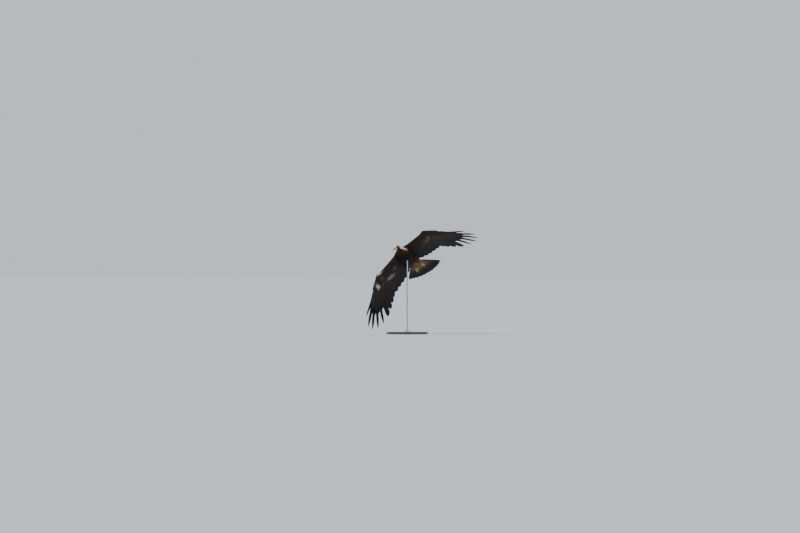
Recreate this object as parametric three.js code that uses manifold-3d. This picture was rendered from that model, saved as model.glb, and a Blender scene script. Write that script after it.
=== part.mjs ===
// A life-size golden eagle in a banked glide, on a plain display stand.
// Units are millimetres. The bird is modelled in its own frame, with x forward, y to its left
// and z towards its back, and its origin midway between the two shoulder joints.
// The frame is then pitched, banked and lifted above the stand. The origin of the whole
// part is the centre of the stand's underside, with +Z up and the bird heading along -Y.
import * as THREE from "three";
import { mergeVertices } from "three/addons/utils/BufferGeometryUtils.js";
import Module from "manifold-3d";

const wasm = await Module();
wasm.setup();

const DEGREE = Math.PI / 180;

// The gap that neighbouring pieces keep where they meet face to face.
const GAP = 0.3;

// Attitude of the bird and height of its origin over the floor.
const PITCH_UP = 18.93 * DEGREE;
const BANK = 44.35 * DEGREE;
const ORIGIN_HEIGHT = 950;

// Torso: for each station its x, half width, half height and height of the centre.
const TORSO_STATIONS = [
  [46, 36, 36, -14],
  [36, 56, 54, -16],
  [12, 76, 69, -22],
  [-30, 90, 81, -31],
  [-90, 92, 82, -34],
  [-150, 84, 74, -31],
  [-205, 71, 61, -25],
  [-255, 57, 47, -19],
  [-300, 46, 36, -14],
];
const TORSO_SIDES = 20;
const NECK_SIDES = 16;

// Head: its centre, the way it faces and its stations in its own frame.
// A station is the distance forward, half width, top and bottom.
const HEAD_CENTRE = new THREE.Vector3(92, 32, -6);
const HEAD_FORWARD = new THREE.Vector3(0.52, -0.83, 0.2).normalize();
const HEAD_STATIONS = [
  [-45, 7, 8, -10],
  [-38, 20, 20, -22],
  [-22, 28, 28, -29],
  [-2, 30, 30.5, -30],
  [14, 27.5, 29, -27],
  [27, 21.5, 23.5, -21.5],
  [36, 15, 17.5, -17],
  [40, 11, 14, -14.5],
];
const HEAD_SIDES = 18;
const EYE_RADIUS = 9.6;
const EYE_SIDES = [12, 8];
const EYE_FORWARD = 19;
const EYE_SIDE = 17.6;
const EYE_UP = 6.5;
const LID = {
  radius: 8.9, tube: 1.5, tubeSides: 4, ringSides: 12,
  long: 1.05, tall: 0.92, turn: -14, forward: 1.6, side: 5.4,
};
const BROW = {
  length: 14, width: 4.2, height: 3.2, sides: [8, 5], tip: -8, turn: -12, side: 5, up: 10.2,
};
// The line of the mouth: a thin slab cut into the head down to a depth.
const MOUTH = { length: 24, height: 1.4, tip: 8, forward: 29, up: -8, depth: 2.4 };
const NOSTRIL = {
  length: 2.6, depth: 3, height: 1.6, sides: [6, 5], tip: -50, forward: 43.5, side: 11.2, up: 6.5,
};

// Bill: stations along its spine, each with its distance forward, height, downward angle,
// half height and half width.
const BILL_SPINE = [
  [36, 5.2, 0, 9.9, 12.6],
  [46, 4.6, 6, 9.7, 11.2],
  [56, 2.8, 14, 8.9, 9.4],
  [65, -0.8, 30, 7.3, 7.3],
  [72, -6.4, 50, 5.3, 5.2],
  [76.5, -13, 68, 3.3, 3.2],
  [78.6, -20.5, 80, 0.9, 0.9],
];
const BILL_SIDES = 12;
const CERE_END = 49;
const BEYOND_HEAD = 200;
const LOWER_BILL_STATIONS = [
  [36, 11.4, -2, -16],
  [48, 9.2, -3, -15.5],
  [58, 6.8, -5, -14.8],
  [65, 4.2, -7, -13.8],
  [69, 1.8, -9, -12.6],
];

// Neck: radius at its root in the torso and at its end in the head.
const NECK_ROOT = new THREE.Vector3(18, 0, -19);
const NECK_ROOT_RADIUS = 67;
const NECK_HEAD_RADIUS = 31;
const NECK_RINGS = 6;
const NECK_INTO_HEAD = -6;
const NECK_FLATNESS = 0.96;
const NECK_SHRINK_POWER = 0.8;

// Wings. wristOut and wristForward place the wrist on the flattened wing, outwards and
// forwards of the body's origin. The droops bend the arm and the hand down, the twists
// turn their trailing edges down, and the curl bends the outer feather tips up.
const SHOULDER_OUT = 62;
const SHOULDER_FORWARD = 10;
const WRIST_BLEND = 70;
const WINGS = {
  left: {
    sign: 1, wristOut: 407.8, wristForward: 136.6, handAngle: -22.5,
    armDroop: 17.6, handDroop: 40, armTwist: 5.3, handTwist: 7.2, curl: 31,
  },
  right: {
    sign: -1, wristOut: 408.9, wristForward: 133.2, handAngle: -16.1,
    armDroop: 22.3, handDroop: 33, armTwist: 7.5, handTwist: 10.5, curl: 34.9,
  },
};
const WING_CAMBER = 0.00008;
// The drooped wing is laid out in short steps, out to a reach beyond its tip.
const WING_STEP = 4;
const WING_REACH = 1000;

// Primary feathers from the wing tip inwards: reach of the tip from the wrist, and its
// angle behind the axis of the hand.
const PRIMARY_TIPS = [
  [465, 0], [580, 6.5], [622, 13], [628, 20.5], [592, 28.5],
  [532, 36.5], [475, 44.5], [430, 52.5], [398, 60.5], [378, 68.5],
];
const PRIMARY_COUNT = PRIMARY_TIPS.length;
// How far along the hand the innermost and outermost primaries are rooted.
const PRIMARY_ROOT_FIRST = 8;
const PRIMARY_ROOT_LAST = 150;
const PRIMARY_ROOT_FRONT = -22;
const PRIMARY_ROOT_RISE = 16;
const PRIMARY_WIDTHS = { outer: 21, inner: 42 };
const PRIMARY_BEND = 3;
const PRIMARY_CURL = 0.12;
// The outer primaries narrow to fingers, and their tips share the wing's curl.
const FINGER_COUNT = 5;
const FINGER_CURL = [1, 1, 0.9, 0.75, 0.5];
const FINGER_WIDTHS = { outer: 19, inner: 44 };
const OUTERMOST_WIDTHS = { outer: 12, inner: 34 };
const FINGER_BEND = 7;

// Secondary feathers: the roots follow the forearm and the upper arm, the tips the trailing edge.
const SECONDARY_COUNT = 17;
const TRAILING_END_OUT = 84;
const TRAILING_END_BACK = -291;
const TRAILING_BOW = 22;
// The last secondary's tip lies this far inwards of and behind the first primary's.
const TRAILING_STEP = [17, 6];
const SECONDARY_ROOTS = [[70, -60], [170, -62], [252, -36]];
const SECONDARY_LAST_ROOT = [-2, -50];
const SECONDARY_WIDTHS = { outer: 17, inner: 37 };
const LENGTH_VARIATION = 5;
const LONG_SECONDARY_EVERY = 3;
const LONG_SECONDARY_EXTRA = 13;

// Flesh of the arm on the flattened wing: front and rear point of each section and its
// half thickness. The hand's sections are told along the hand's axis, in front and behind it.
const ARM_SECTIONS = [
  { front: [36, 34], rear: [36, -94], half: 15 },
  { front: [110, 43], rear: [112, -100], half: 14.5 },
  { front: [180, 66], rear: [188, -92], half: 14 },
  { front: [250, 91], rear: [262, -62], half: 13.5 },
  { front: [322, 117], rear: [340, -6], half: 13 },
];
const HAND_SECTIONS = [
  { front: [-34, 7], rear: [8, -92], half: 12.5 },
  { front: [4, 12], rear: [28, -76], half: 12 },
  { front: [50, 12], rear: [64, -60], half: 11 },
  { front: [98, 11], rear: [106, -46], half: 10 },
  { front: [138, 9], rear: [142, -32], half: 8.5 },
  { front: [166, 5], rear: [168, -14], half: 5 },
];
const FLESH_TOP = [[0, 0], [0.07, 0.66], [0.25, 1], [0.58, 0.88], [1, 0.52]];
const FLESH_BOTTOM_SHARE = 0.86;

// Layers of feathers, by height over the middle of the wing, and the rise from one feather
// to the next in its row.
const FLIGHT_LEVEL = 0.8;
const FLIGHT_RISE = 2;
const GREATER_UPPER_LEVEL = 6.4;
const GREATER_UNDER_LEVEL = -5.8;
const MEDIAN_UPPER_LEVEL = 9.6;
const MEDIAN_UNDER_LEVEL = -9;
const COVERT_RISE = 1.5;
const RACHIS_THICKNESS = 1.7;
const VANE_THICKNESS = 0.7;
const BROAD_THICKNESS = 0.9;
const COVERT_THICKNESS = 0.8;
const LEAST_SPACING = 4;
// A feather's tip curls up from a share of its length on, over a span of shares.
const CURL_START = 0.25;
const CURL_SPAN = 0.9;

// Rows of coverts: how many, the share of the wing part they span, where each starts and ends
// along its flight feather (at either end of the row), and its widths.
const ARM_COVERTS = { from: 0.02, to: 0.98, start: -4, outer: 19, inner: 28 };
const MEDIAN_COVERTS = { from: 0.03, to: 0.97, start: -16, outer: 23, inner: 31 };
const HAND_COVERTS = { from: 0.02, to: 0.86, start: -6, outer: 17, inner: 28 };
const ARM_COVERT_ROWS = [
  { ...ARM_COVERTS, count: 9, end: 118, endTip: 128, level: GREATER_UPPER_LEVEL },
  { ...ARM_COVERTS, count: 9, end: 112, endTip: 122, level: GREATER_UNDER_LEVEL },
  { ...MEDIAN_COVERTS, count: 7, end: 62, endTip: 72, level: MEDIAN_UPPER_LEVEL },
  { ...MEDIAN_COVERTS, count: 7, end: 58, endTip: 68, level: MEDIAN_UNDER_LEVEL },
];
const HAND_COVERT_ROWS = [
  { ...HAND_COVERTS, count: 5, end: 130, endTip: 150, level: GREATER_UPPER_LEVEL },
  { ...HAND_COVERTS, count: 5, end: 122, endTip: 140, level: GREATER_UNDER_LEVEL },
];
const COVERT_VARIATION = 0.08;

// The alula's three feathers: root and tip along and in front of the hand's axis.
const ALULA = [
  { root: [26, -2], tip: [150, 11], level: 6.2 },
  { root: [34, -5], tip: [128, 2], level: 8.2 },
  { root: [42, -8], tip: [106, -7], level: 10.2 },
];
const ALULA_SIZES = { outer: 6, inner: 13, rootSpacing: 9, tipSpacing: 12 };

// The wall that parts the hand from the arm: its steps and its reach above and below.
const CUT_STEPS = 14;
const CUT_REACH = 45;
const CUT_START = [-14, 80];
const CUT_END = [-2, -160];
const WING_SEEDS = { left: 11, right: 23 };

// Tail: root, pitch, twist about the body's axis, half fan angle and length.
const TAIL_ROOT = new THREE.Vector3(-300, 0, -12);
const TAIL_PITCH = 5 * DEGREE;
const TAIL_TWIST = 13 * DEGREE;
const TAIL_HALF_FAN = 39 * DEGREE;
const MIDDLE_FAN_SHARE = 0.06;
const TAIL_LENGTH = 348;
const TAIL_PAIRS = 6;
const TAIL_ROOT_REACH = 58;
const TAIL_ARCH = 0.0002;
const TAIL_SEED = 37;
const TAIL_ROOT_SIDES = 16;
// Fleshy root of the tail: distance back, half width and half height.
const TAIL_ROOT_STATIONS = [[-30, 50, 40], [0, 44, 34], [30, 40, 25], [60, 40, 15], [92, 34, 7]];
// Tail feathers of one side: widths, with the middle one narrower towards the middle, and how
// much shorter the outermost is.
const RECTRIX = { outer: 22, inner: 33, middle: 13, shorter: 12, level: 0 };
const TAIL_COVERTS = { from: 0.03, to: 0.88, middle: 6, shorter: 0.16 };
const TAIL_COVERT_ROWS = [
  { count: 3, start: 50, end: 150, level: 4.8, outer: 21, inner: 21 },
  { count: 4, start: 50, end: 190, level: -4.8, outer: 18, inner: 18 },
  { count: 3, start: 44, end: 132, level: -9, outer: 21, inner: 21 },
];

// Legs, folded back under the tail: stations down the left leg, each with x, y, z and radius.
const THIGH_STATIONS = [
  [-150, 44, -72, 24],
  [-172, 46, -80, 33],
  [-205, 47, -86, 34],
  [-240, 46, -90, 27],
  [-268, 44, -91, 18],
];
const TARSUS_STATIONS = [
  [-262, 44, -91, 14],
  [-290, 44, -90, 13.5],
  [-318, 43, -87, 12],
  [-344, 42, -83, 11],
];
const FOOT_CENTRE = new THREE.Vector3(-352, 42, -81);
const FOOT_RADIUS = 13;
const FOOT_PAD_SIDES = [8, 6];
const THIGH_SIDES = 14;
const TARSUS_SIDES = 10;
const TOE_SIDES = 6;
const TOE_TAPER = 0.16;
const TOE_PARTS = 3;
const TOE_STEPS = 24;
const MOST_CURL = 1.9;
const CLAW_ROOT_LENGTH = 2;
const CLAW_SHARES = [0.74, 0.72, 0.6, 0.44, 0.26, 0.06];
const TOES = [
  // Spread to the side, downward start angle, curl, length, radius, claw length.
  { spread: 24, start: -6, curl: 88, length: 52, radius: 6.6, claw: 32 },
  { spread: 2, start: -12, curl: 92, length: 62, radius: 6.6, claw: 34 },
  { spread: -22, start: -6, curl: 88, length: 46, radius: 6.2, claw: 30 },
  { spread: 176, start: 60, curl: 50, length: 30, radius: 7, claw: 42 },
];

// Stand.
const BASE_RADIUS = 240;
const BASE_HEIGHT = 26;
const BASE_CHAMFER = 5;
const ROD_RADIUS = 8;
const ROD_IN_BODY = 70;
const ROD_ENTRY = new THREE.Vector3(-60, 0, -95);
const COLLAR_RADIUS = 30;
const COLLAR_HEIGHT = 12;
const BASE_FOOT = 2;
const BASE_SIDES = 32;
const ROD_SIDES = 16;
const POCKET_SIDES = 16;
const COLLAR_SIDES = 16;

const FINISHES = {
  bodyBrown: { color: 0x3b2a24, roughness: 0.85, metalness: 0 },
  wingBrown: { color: 0x45362d, roughness: 0.8, metalness: 0 },
  tailGrey: { color: 0x54463c, roughness: 0.8, metalness: 0 },
  legTawny: { color: 0x6d5130, roughness: 0.85, metalness: 0 },
  napeGold: { color: 0xc09a6a, roughness: 0.85, metalness: 0 },
  cereYellow: { color: 0xd8b23c, roughness: 0.5, metalness: 0 },
  hornDark: { color: 0x2b2c30, roughness: 0.3, metalness: 0 },
  eyeAmber: { color: 0x7a4a1c, roughness: 0.08, metalness: 0 },
  footYellow: { color: 0xd6ab35, roughness: 0.6, metalness: 0 },
  baseWood: { color: 0x2c2622, roughness: 0.4, metalness: 0 },
  rodSteel: { color: 0x9aa0a6, roughness: 0.3, metalness: 1 },
};

// Turns a closed geometry into a solid.
function solidOf(geometry) {
  geometry.deleteAttribute("normal");
  geometry.deleteAttribute("uv");
  const merged = mergeVertices(geometry);
  const vertProperties = new Float32Array(merged.attributes.position.array);
  const triVerts = new Uint32Array(merged.index.array);
  return new wasm.Manifold(new wasm.Mesh({ numProp: 3, vertProperties, triVerts }));
}

// Turns points and triangles into a solid, with its faces pointing out.
function solidFrom(points, faces) {
  let volume = 0;
  for (const [a, b, c] of faces) {
    volume += points[a].dot(new THREE.Vector3().crossVectors(points[b], points[c]));
  }
  const order = volume < 0 ? faces.map(([a, b, c]) => [a, c, b]) : faces;
  const geometry = new THREE.BufferGeometry();
  const flat = points.flatMap((point) => [point.x, point.y, point.z]);
  geometry.setAttribute("position", new THREE.Float32BufferAttribute(flat, 3));
  geometry.setIndex(order.flat());
  return solidOf(geometry);
}

// Joins rings of equal count into a closed solid, with a fan over each end.
function loft(rings) {
  const count = rings[0].length;
  const points = rings.flat();
  const faces = [];
  for (let ring = 0; ring + 1 < rings.length; ring += 1) {
    for (let side = 0; side < count; side += 1) {
      const next = (side + 1) % count;
      const a = ring * count + side;
      const b = ring * count + next;
      faces.push([a, b, b + count], [a, b + count, a + count]);
    }
  }
  const ends = [[0, 1], [rings.length - 1, -1]];
  for (const [ring, turn] of ends) {
    const centre = new THREE.Vector3();
    rings[ring].forEach((point) => centre.addScaledVector(point, 1 / count));
    const hub = points.push(centre) - 1;
    for (let side = 0; side < count; side += 1) {
      const a = ring * count + side;
      const b = ring * count + ((side + 1) % count);
      faces.push(turn > 0 ? [hub, b, a] : [hub, a, b]);
    }
  }
  return solidFrom(points, faces);
}

// Closes two like grids of points, one on each face, into a thin solid. Both faces are split
// into triangles alike, so that they never cross.
function sheet(front, back) {
  const rows = front.length;
  const columns = front[0].length;
  const under = rows * columns;
  const faces = [];
  for (let row = 0; row + 1 < rows; row += 1) {
    for (let column = 0; column + 1 < columns; column += 1) {
      const a = row * columns + column;
      const [b, c, d] = [a + 1, a + 1 + columns, a + columns];
      faces.push([a, b, c], [a, c, d]);
      faces.push([under + a, under + c, under + b], [under + a, under + d, under + c]);
    }
  }
  const rim = [];
  for (let column = 0; column < columns; column += 1) {
    rim.push(column);
  }
  for (let row = 1; row < rows; row += 1) {
    rim.push(row * columns + columns - 1);
  }
  for (let column = columns - 2; column >= 0; column -= 1) {
    rim.push((rows - 1) * columns + column);
  }
  for (let row = rows - 2; row > 0; row -= 1) {
    rim.push(row * columns);
  }
  rim.forEach((here, index) => {
    const next = rim[(index + 1) % rim.length];
    faces.push([next, here, under + here], [next, under + here, under + next]);
  });
  return solidFrom([...front.flat(), ...back.flat()], faces);
}

// An oval ring about a centre, from its two half axes. The lower half may differ.
function ovalRing(centre, side, up, halfWidth, top, bottom, count) {
  const ring = [];
  for (let step = 0; step < count; step += 1) {
    const angle = (2 * Math.PI * step) / count;
    const rise = Math.sin(angle);
    const point = centre.clone();
    point.addScaledVector(side, halfWidth * Math.cos(angle));
    point.addScaledVector(up, rise * (rise > 0 ? top : bottom));
    ring.push(point);
  }
  return ring;
}

// A round tube whose rings follow points with a radius each. Each ring's side is the last
// ring's, turned only as far as the line turns.
function tube(centres, radii, count) {
  let side = null;
  const rings = centres.map((centre, index) => {
    const before = centres[Math.max(index - 1, 0)];
    const after = centres[Math.min(index + 1, centres.length - 1)];
    const along = new THREE.Vector3().subVectors(after, before).normalize();
    side = side
      ? side.clone().addScaledVector(along, -side.dot(along)).normalize()
      : new THREE.Vector3(0, 0, 1).cross(along).normalize();
    const up = new THREE.Vector3().crossVectors(along, side);
    return ovalRing(centre, side, up, radii[index], radii[index], radii[index], count);
  });
  return loft(rings);
}

// The largest closed surface of a solid, taken as solid throughout.
function largest(solid) {
  const pieces = solid.decompose();
  return pieces.reduce((best, piece) => (piece.volume() > best.volume() ? piece : best));
}

function geometryOf(solid) {
  const mesh = solid.getMesh();
  const geometry = new THREE.BufferGeometry();
  geometry.setAttribute("position", new THREE.BufferAttribute(mesh.vertProperties, 3));
  geometry.setIndex(new THREE.BufferAttribute(mesh.triVerts, 1));
  geometry.computeVertexNormals();
  return geometry;
}

function placed(solid, matrix) {
  return solid.transform(matrix.elements);
}

// Mirrors a solid from the left side of the body to the right.
function mirrored(solid) {
  return solid.mirror([0, 1, 0]);
}

const bird = new THREE.Group();
const stand = new THREE.Group();

function addPart(group, name, solid, finish) {
  const material = new THREE.MeshStandardMaterial(FINISHES[finish]);
  const mesh = new THREE.Mesh(geometryOf(largest(solid)), material);
  mesh.name = name;
  group.add(mesh);
}

// Torso.
function torsoSolid(grow) {
  const rings = TORSO_STATIONS.map(([x, halfWidth, halfHeight, z], index) => {
    const isEnd = index === 0 || index === TORSO_STATIONS.length - 1;
    const reach = isEnd ? Math.sign(x) * grow : 0;
    return ovalRing(
      new THREE.Vector3(x + reach, 0, z), new THREE.Vector3(0, 1, 0), new THREE.Vector3(0, 0, 1),
      halfWidth + grow, halfHeight + grow, halfHeight + grow, TORSO_SIDES,
    );
  });
  return loft(rings);
}

// Head frame: x forward, y to the head's left and z up. The head stays level in the world
// while the body banks.
const worldUp = new THREE.Vector3(
  Math.sin(PITCH_UP), Math.sin(BANK) * Math.cos(PITCH_UP), Math.cos(BANK) * Math.cos(PITCH_UP),
);
const headLeft = new THREE.Vector3().crossVectors(worldUp, HEAD_FORWARD).normalize();
const headUp = new THREE.Vector3().crossVectors(HEAD_FORWARD, headLeft);
const headMatrix = new THREE.Matrix4().makeBasis(HEAD_FORWARD, headLeft, headUp);
headMatrix.setPosition(HEAD_CENTRE);

function headCore(grow) {
  const rings = HEAD_STATIONS.map(([x, halfWidth, top, bottom], index) => {
    const isEnd = index === 0 || index === HEAD_STATIONS.length - 1;
    const reach = isEnd ? Math.sign(x) * grow : 0;
    return ovalRing(
      new THREE.Vector3(x + reach, 0, 0), new THREE.Vector3(0, 1, 0), new THREE.Vector3(0, 0, 1),
      halfWidth + grow, top + grow, grow - bottom, HEAD_SIDES,
    );
  });
  return loft(rings);
}

function eyeSolid(side, grow) {
  const eye = new THREE.SphereGeometry(EYE_RADIUS + grow, ...EYE_SIDES);
  eye.translate(EYE_FORWARD, side * EYE_SIDE, EYE_UP);
  return solidOf(eye);
}

function lidSolid(side) {
  const lid = new THREE.TorusGeometry(LID.radius, LID.tube, LID.tubeSides, LID.ringSides);
  lid.scale(LID.long, LID.tall, 1);
  lid.rotateX(Math.PI / 2);
  lid.rotateZ(side * LID.turn * DEGREE);
  lid.translate(EYE_FORWARD + LID.forward, side * (EYE_SIDE + LID.side), EYE_UP);
  return solidOf(lid);
}

function browSolid(side) {
  const brow = new THREE.SphereGeometry(1, ...BROW.sides);
  brow.scale(BROW.length, BROW.width, BROW.height);
  brow.rotateY(BROW.tip * DEGREE);
  brow.rotateZ(side * BROW.turn * DEGREE);
  brow.translate(EYE_FORWARD, side * (EYE_SIDE + BROW.side), EYE_UP + BROW.up);
  return solidOf(brow);
}

// The line of the mouth runs back from the bill to below the eye, as a shallow groove.
function mouthGroove() {
  const slab = new THREE.BoxGeometry(MOUTH.length, BEYOND_HEAD, MOUTH.height);
  slab.rotateY(MOUTH.tip * DEGREE);
  slab.translate(MOUTH.forward, 0, MOUTH.up);
  return solidOf(slab).subtract(headCore(-MOUTH.depth));
}

// Bill, in the head's frame.
function upperBill(grow) {
  const rings = BILL_SPINE.map(([x, z, turn, halfHeight, halfWidth], index) => {
    const along = new THREE.Vector3(Math.cos(turn * DEGREE), 0, -Math.sin(turn * DEGREE));
    const up = new THREE.Vector3(Math.sin(turn * DEGREE), 0, Math.cos(turn * DEGREE));
    const centre = new THREE.Vector3(x, 0, z);
    if (index === BILL_SPINE.length - 1) {
      centre.addScaledVector(along, grow);
    }
    return ovalRing(
      centre, new THREE.Vector3(0, 1, 0), up,
      halfWidth + grow, halfHeight + grow, halfHeight + grow, BILL_SIDES,
    );
  });
  return loft(rings);
}

function lowerBill() {
  const rings = LOWER_BILL_STATIONS.map(([x, halfWidth, top, bottom]) => {
    const middle = (top + bottom) / 2;
    const halfHeight = (top - bottom) / 2;
    return ovalRing(
      new THREE.Vector3(x, 0, middle), new THREE.Vector3(0, 1, 0), new THREE.Vector3(0, 0, 1),
      halfWidth, halfHeight, halfHeight, BILL_SIDES,
    );
  });
  return loft(rings).subtract(upperBill(GAP));
}

function nostril(side) {
  const slot = new THREE.SphereGeometry(1, ...NOSTRIL.sides);
  slot.scale(NOSTRIL.length, NOSTRIL.depth, NOSTRIL.height);
  slot.rotateY(NOSTRIL.tip * DEGREE);
  slot.translate(NOSTRIL.forward, side * NOSTRIL.side, NOSTRIL.up);
  return solidOf(slot);
}

function slabAcross(from, to) {
  const slab = new THREE.BoxGeometry(to - from, BEYOND_HEAD, BEYOND_HEAD);
  slab.translate((from + to) / 2, 0, 0);
  return solidOf(slab);
}

// Neck: rings turn from the torso's axis to the way that the head faces.
function neckSolid(grow) {
  const rings = [];
  const rootDirection = new THREE.Vector3(1, 0, 0);
  const turn = new THREE.Quaternion().setFromUnitVectors(rootDirection, HEAD_FORWARD);
  const headEnd = HEAD_CENTRE.clone().addScaledVector(HEAD_FORWARD, NECK_INTO_HEAD);
  for (let ring = 0; ring < NECK_RINGS; ring += 1) {
    const share = ring / (NECK_RINGS - 1);
    const partTurn = new THREE.Quaternion().slerp(turn, share);
    const side = new THREE.Vector3(0, 1, 0).applyQuaternion(partTurn);
    const up = new THREE.Vector3(0, 0, 1).applyQuaternion(partTurn);
    const centre = NECK_ROOT.clone().lerp(headEnd, share);
    const shrink = share ** NECK_SHRINK_POWER;
    const radius = NECK_ROOT_RADIUS * (1 - shrink) + NECK_HEAD_RADIUS * shrink + grow;
    const flat = radius * NECK_FLATNESS;
    rings.push(ovalRing(centre, side, up, radius, flat, flat, NECK_SIDES));
  }
  return loft(rings);
}

// Wing space: places a point of the flattened wing, given outwards, forwards and upwards,
// on the drooped and twisted wing.
function smoothStep(value) {
  const share = Math.min(Math.max(value, 0), 1);
  return share * share * (3 - 2 * share);
}

function wingSpace(wing) {
  const table = [];
  let y = SHOULDER_OUT;
  let z = 0;
  const blendAt = (out) => smoothStep((out - wing.wristOut + WRIST_BLEND) / (2 * WRIST_BLEND));
  const droopAt = (out) => {
    const blend = blendAt(out);
    return (wing.armDroop * (1 - blend) + wing.handDroop * blend) * DEGREE;
  };
  for (let out = SHOULDER_OUT; out < WING_REACH; out += WING_STEP) {
    table.push([y, z]);
    const droop = droopAt(out + WING_STEP / 2);
    y += Math.cos(droop) * WING_STEP;
    z -= Math.sin(droop) * WING_STEP;
  }
  return (out, forward, up) => {
    const place = (out - SHOULDER_OUT) / WING_STEP;
    const index = Math.min(Math.max(Math.floor(place), 0), table.length - 2);
    const share = place - index;
    const [y0, z0] = table[index];
    const [y1, z1] = table[index + 1];
    const droop = droopAt(out);
    const blend = blendAt(out);
    const twist = (wing.armTwist * (1 - blend) + wing.handTwist * blend) * DEGREE;
    const armSlope = (wing.wristForward - SHOULDER_FORWARD) / (wing.wristOut - SHOULDER_OUT);
    const axisForward = out < wing.wristOut
      ? SHOULDER_FORWARD + armSlope * (out - SHOULDER_OUT)
      : wing.wristForward + (out - wing.wristOut) * Math.tan(wing.handAngle * DEGREE);
    const behind = forward - axisForward;
    const raised = up - WING_CAMBER * behind * behind;
    const normal = new THREE.Vector3(0, Math.sin(droop), Math.cos(droop));
    const chord = new THREE.Vector3(Math.cos(twist), 0, 0).addScaledVector(normal, Math.sin(twist));
    const rise = normal.clone().multiplyScalar(Math.cos(twist));
    rise.x -= Math.sin(twist);
    const point = new THREE.Vector3(axisForward, y0 + (y1 - y0) * share, z0 + (z1 - z0) * share);
    point.addScaledVector(chord, behind).addScaledVector(rise, raised);
    point.y *= wing.sign;
    return point;
  };
}

function primaryTip(wing, index) {
  const [reach, angle] = PRIMARY_TIPS[index];
  const direction = (wing.handAngle - angle) * DEGREE;
  return [
    wing.wristOut + reach * Math.cos(direction),
    wing.wristForward + reach * Math.sin(direction),
  ];
}

// A seeded draw, so that the same feathers come out each time.
function drawFrom(seed) {
  let state = seed;
  return () => {
    state = (state * 1664525 + 1013904223) % 4294967296;
    return state / 4294967296;
  };
}

// A point of a broken line at a share of its length.
function pointOn(line, share) {
  const lengths = line.slice(1).map(([x, y], index) => (
    Math.hypot(x - line[index][0], y - line[index][1])
  ));
  let left = share * lengths.reduce((sum, length) => sum + length, 0);
  let index = 0;
  while (index < lengths.length - 1 && left > lengths[index]) {
    left -= lengths[index];
    index += 1;
  }
  const part = left / lengths[index];
  const [x0, y0] = line[index];
  const [x1, y1] = line[index + 1];
  return [x0 + (x1 - x0) * part, y0 + (y1 - y0) * part];
}

// Outlines of feathers: share of the length, of the outer and of the inner vane's width.
const BROAD_OUTLINE = [[0, 0.16, 0.07], [0.16, 0.62, 0.55], [0.86, 1, 0.9], [1, 0.22, 0.16]];
const FINGER_OUTLINE = [
  [0, 0.2, 0.06], [0.12, 0.5, 0.4], [0.42, 1, 1],
  [0.55, 0.56, 0.42], [0.82, 0.5, 0.34], [1, 0.1, 0.06],
];
const COVERT_OUTLINE = [[0, 0.3, 0.3], [0.35, 1, 1], [0.82, 0.95, 0.85], [1, 0.3, 0.25]];

// One feather as a thin closed vane. Its outer side, towards the wing tip, rises over the
// next feather, so that a row lies like shingles with the same step everywhere.
function vane(place, quill, style) {
  const [rootOut, rootForward] = quill.root;
  const [tipOut, tipForward] = quill.tip;
  const length = Math.hypot(tipOut - rootOut, tipForward - rootForward);
  const alongOut = (tipOut - rootOut) / length;
  const alongForward = (tipForward - rootForward) / length;
  const columns = style.ridge > 0 ? [1, 0, -1] : [1, -1];
  const grid = (face) => style.outline.map(([share, outerShare, innerShare]) => {
    const bend = (quill.bend ?? 0) * 4 * share * (1 - share);
    const spacing = quill.rootSpacing + (quill.tipSpacing - quill.rootSpacing) * share;
    const curl = (quill.curl ?? 0) * smoothStep((share - CURL_START) / CURL_SPAN);
    return columns.map((column) => {
      const offset = column * (column > 0 ? quill.outer * outerShare : quill.inner * innerShare);
      const half = (column === 0 ? style.ridge * (1 - 0.5 * share) : style.edge) / 2;
      return place(
        rootOut + alongOut * length * share - alongForward * (offset + bend),
        rootForward + alongForward * length * share + alongOut * (offset + bend),
        quill.level + (style.rise * offset) / spacing + curl + face * half,
      );
    });
  });
  return sheet(grid(1), grid(-1));
}

// A row of feathers, each with the spacing that it has from its neighbours.
function featherRow(place, quills, style) {
  return quills.map((quill, index) => {
    const before = quills[Math.max(index - 1, 0)];
    const after = quills[Math.min(index + 1, quills.length - 1)];
    const steps = (index > 0 ? 1 : 0) + (index < quills.length - 1 ? 1 : 0);
    const out = quill.tip[0] - quill.root[0];
    const forward = quill.tip[1] - quill.root[1];
    const length = Math.hypot(out, forward);
    const spacingAt = (end) => {
      const overOut = after[end][0] - before[end][0];
      const overForward = after[end][1] - before[end][1];
      const across = Math.abs(overForward * out - overOut * forward) / length;
      return Math.max(across / Math.max(steps, 1), LEAST_SPACING);
    };
    const spaced = { ...quill, rootSpacing: spacingAt("root"), tipSpacing: spacingAt("tip") };
    return vane(place, spaced, style);
  });
}

// How each kind of feather is made; a ridge makes its middle thicker, for the shaft.
const FLIGHT_STYLE = { rise: FLIGHT_RISE, ridge: 0, edge: BROAD_THICKNESS, outline: BROAD_OUTLINE };
const PRIMARY_STYLE = { ...FLIGHT_STYLE, ridge: RACHIS_THICKNESS, edge: VANE_THICKNESS };
const FINGER_STYLE = { ...PRIMARY_STYLE, outline: FINGER_OUTLINE };
const COVERT_STYLE = {
  rise: COVERT_RISE, ridge: 0, edge: COVERT_THICKNESS, outline: COVERT_OUTLINE,
};

// A point of the flattened wing told along the hand's axis, in front of it or behind.
function handPoint(wing, reach, front) {
  const angle = wing.handAngle * DEGREE;
  return [
    wing.wristOut + reach * Math.cos(angle) - front * Math.sin(angle),
    wing.wristForward + reach * Math.sin(angle) + front * Math.cos(angle),
  ];
}

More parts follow.
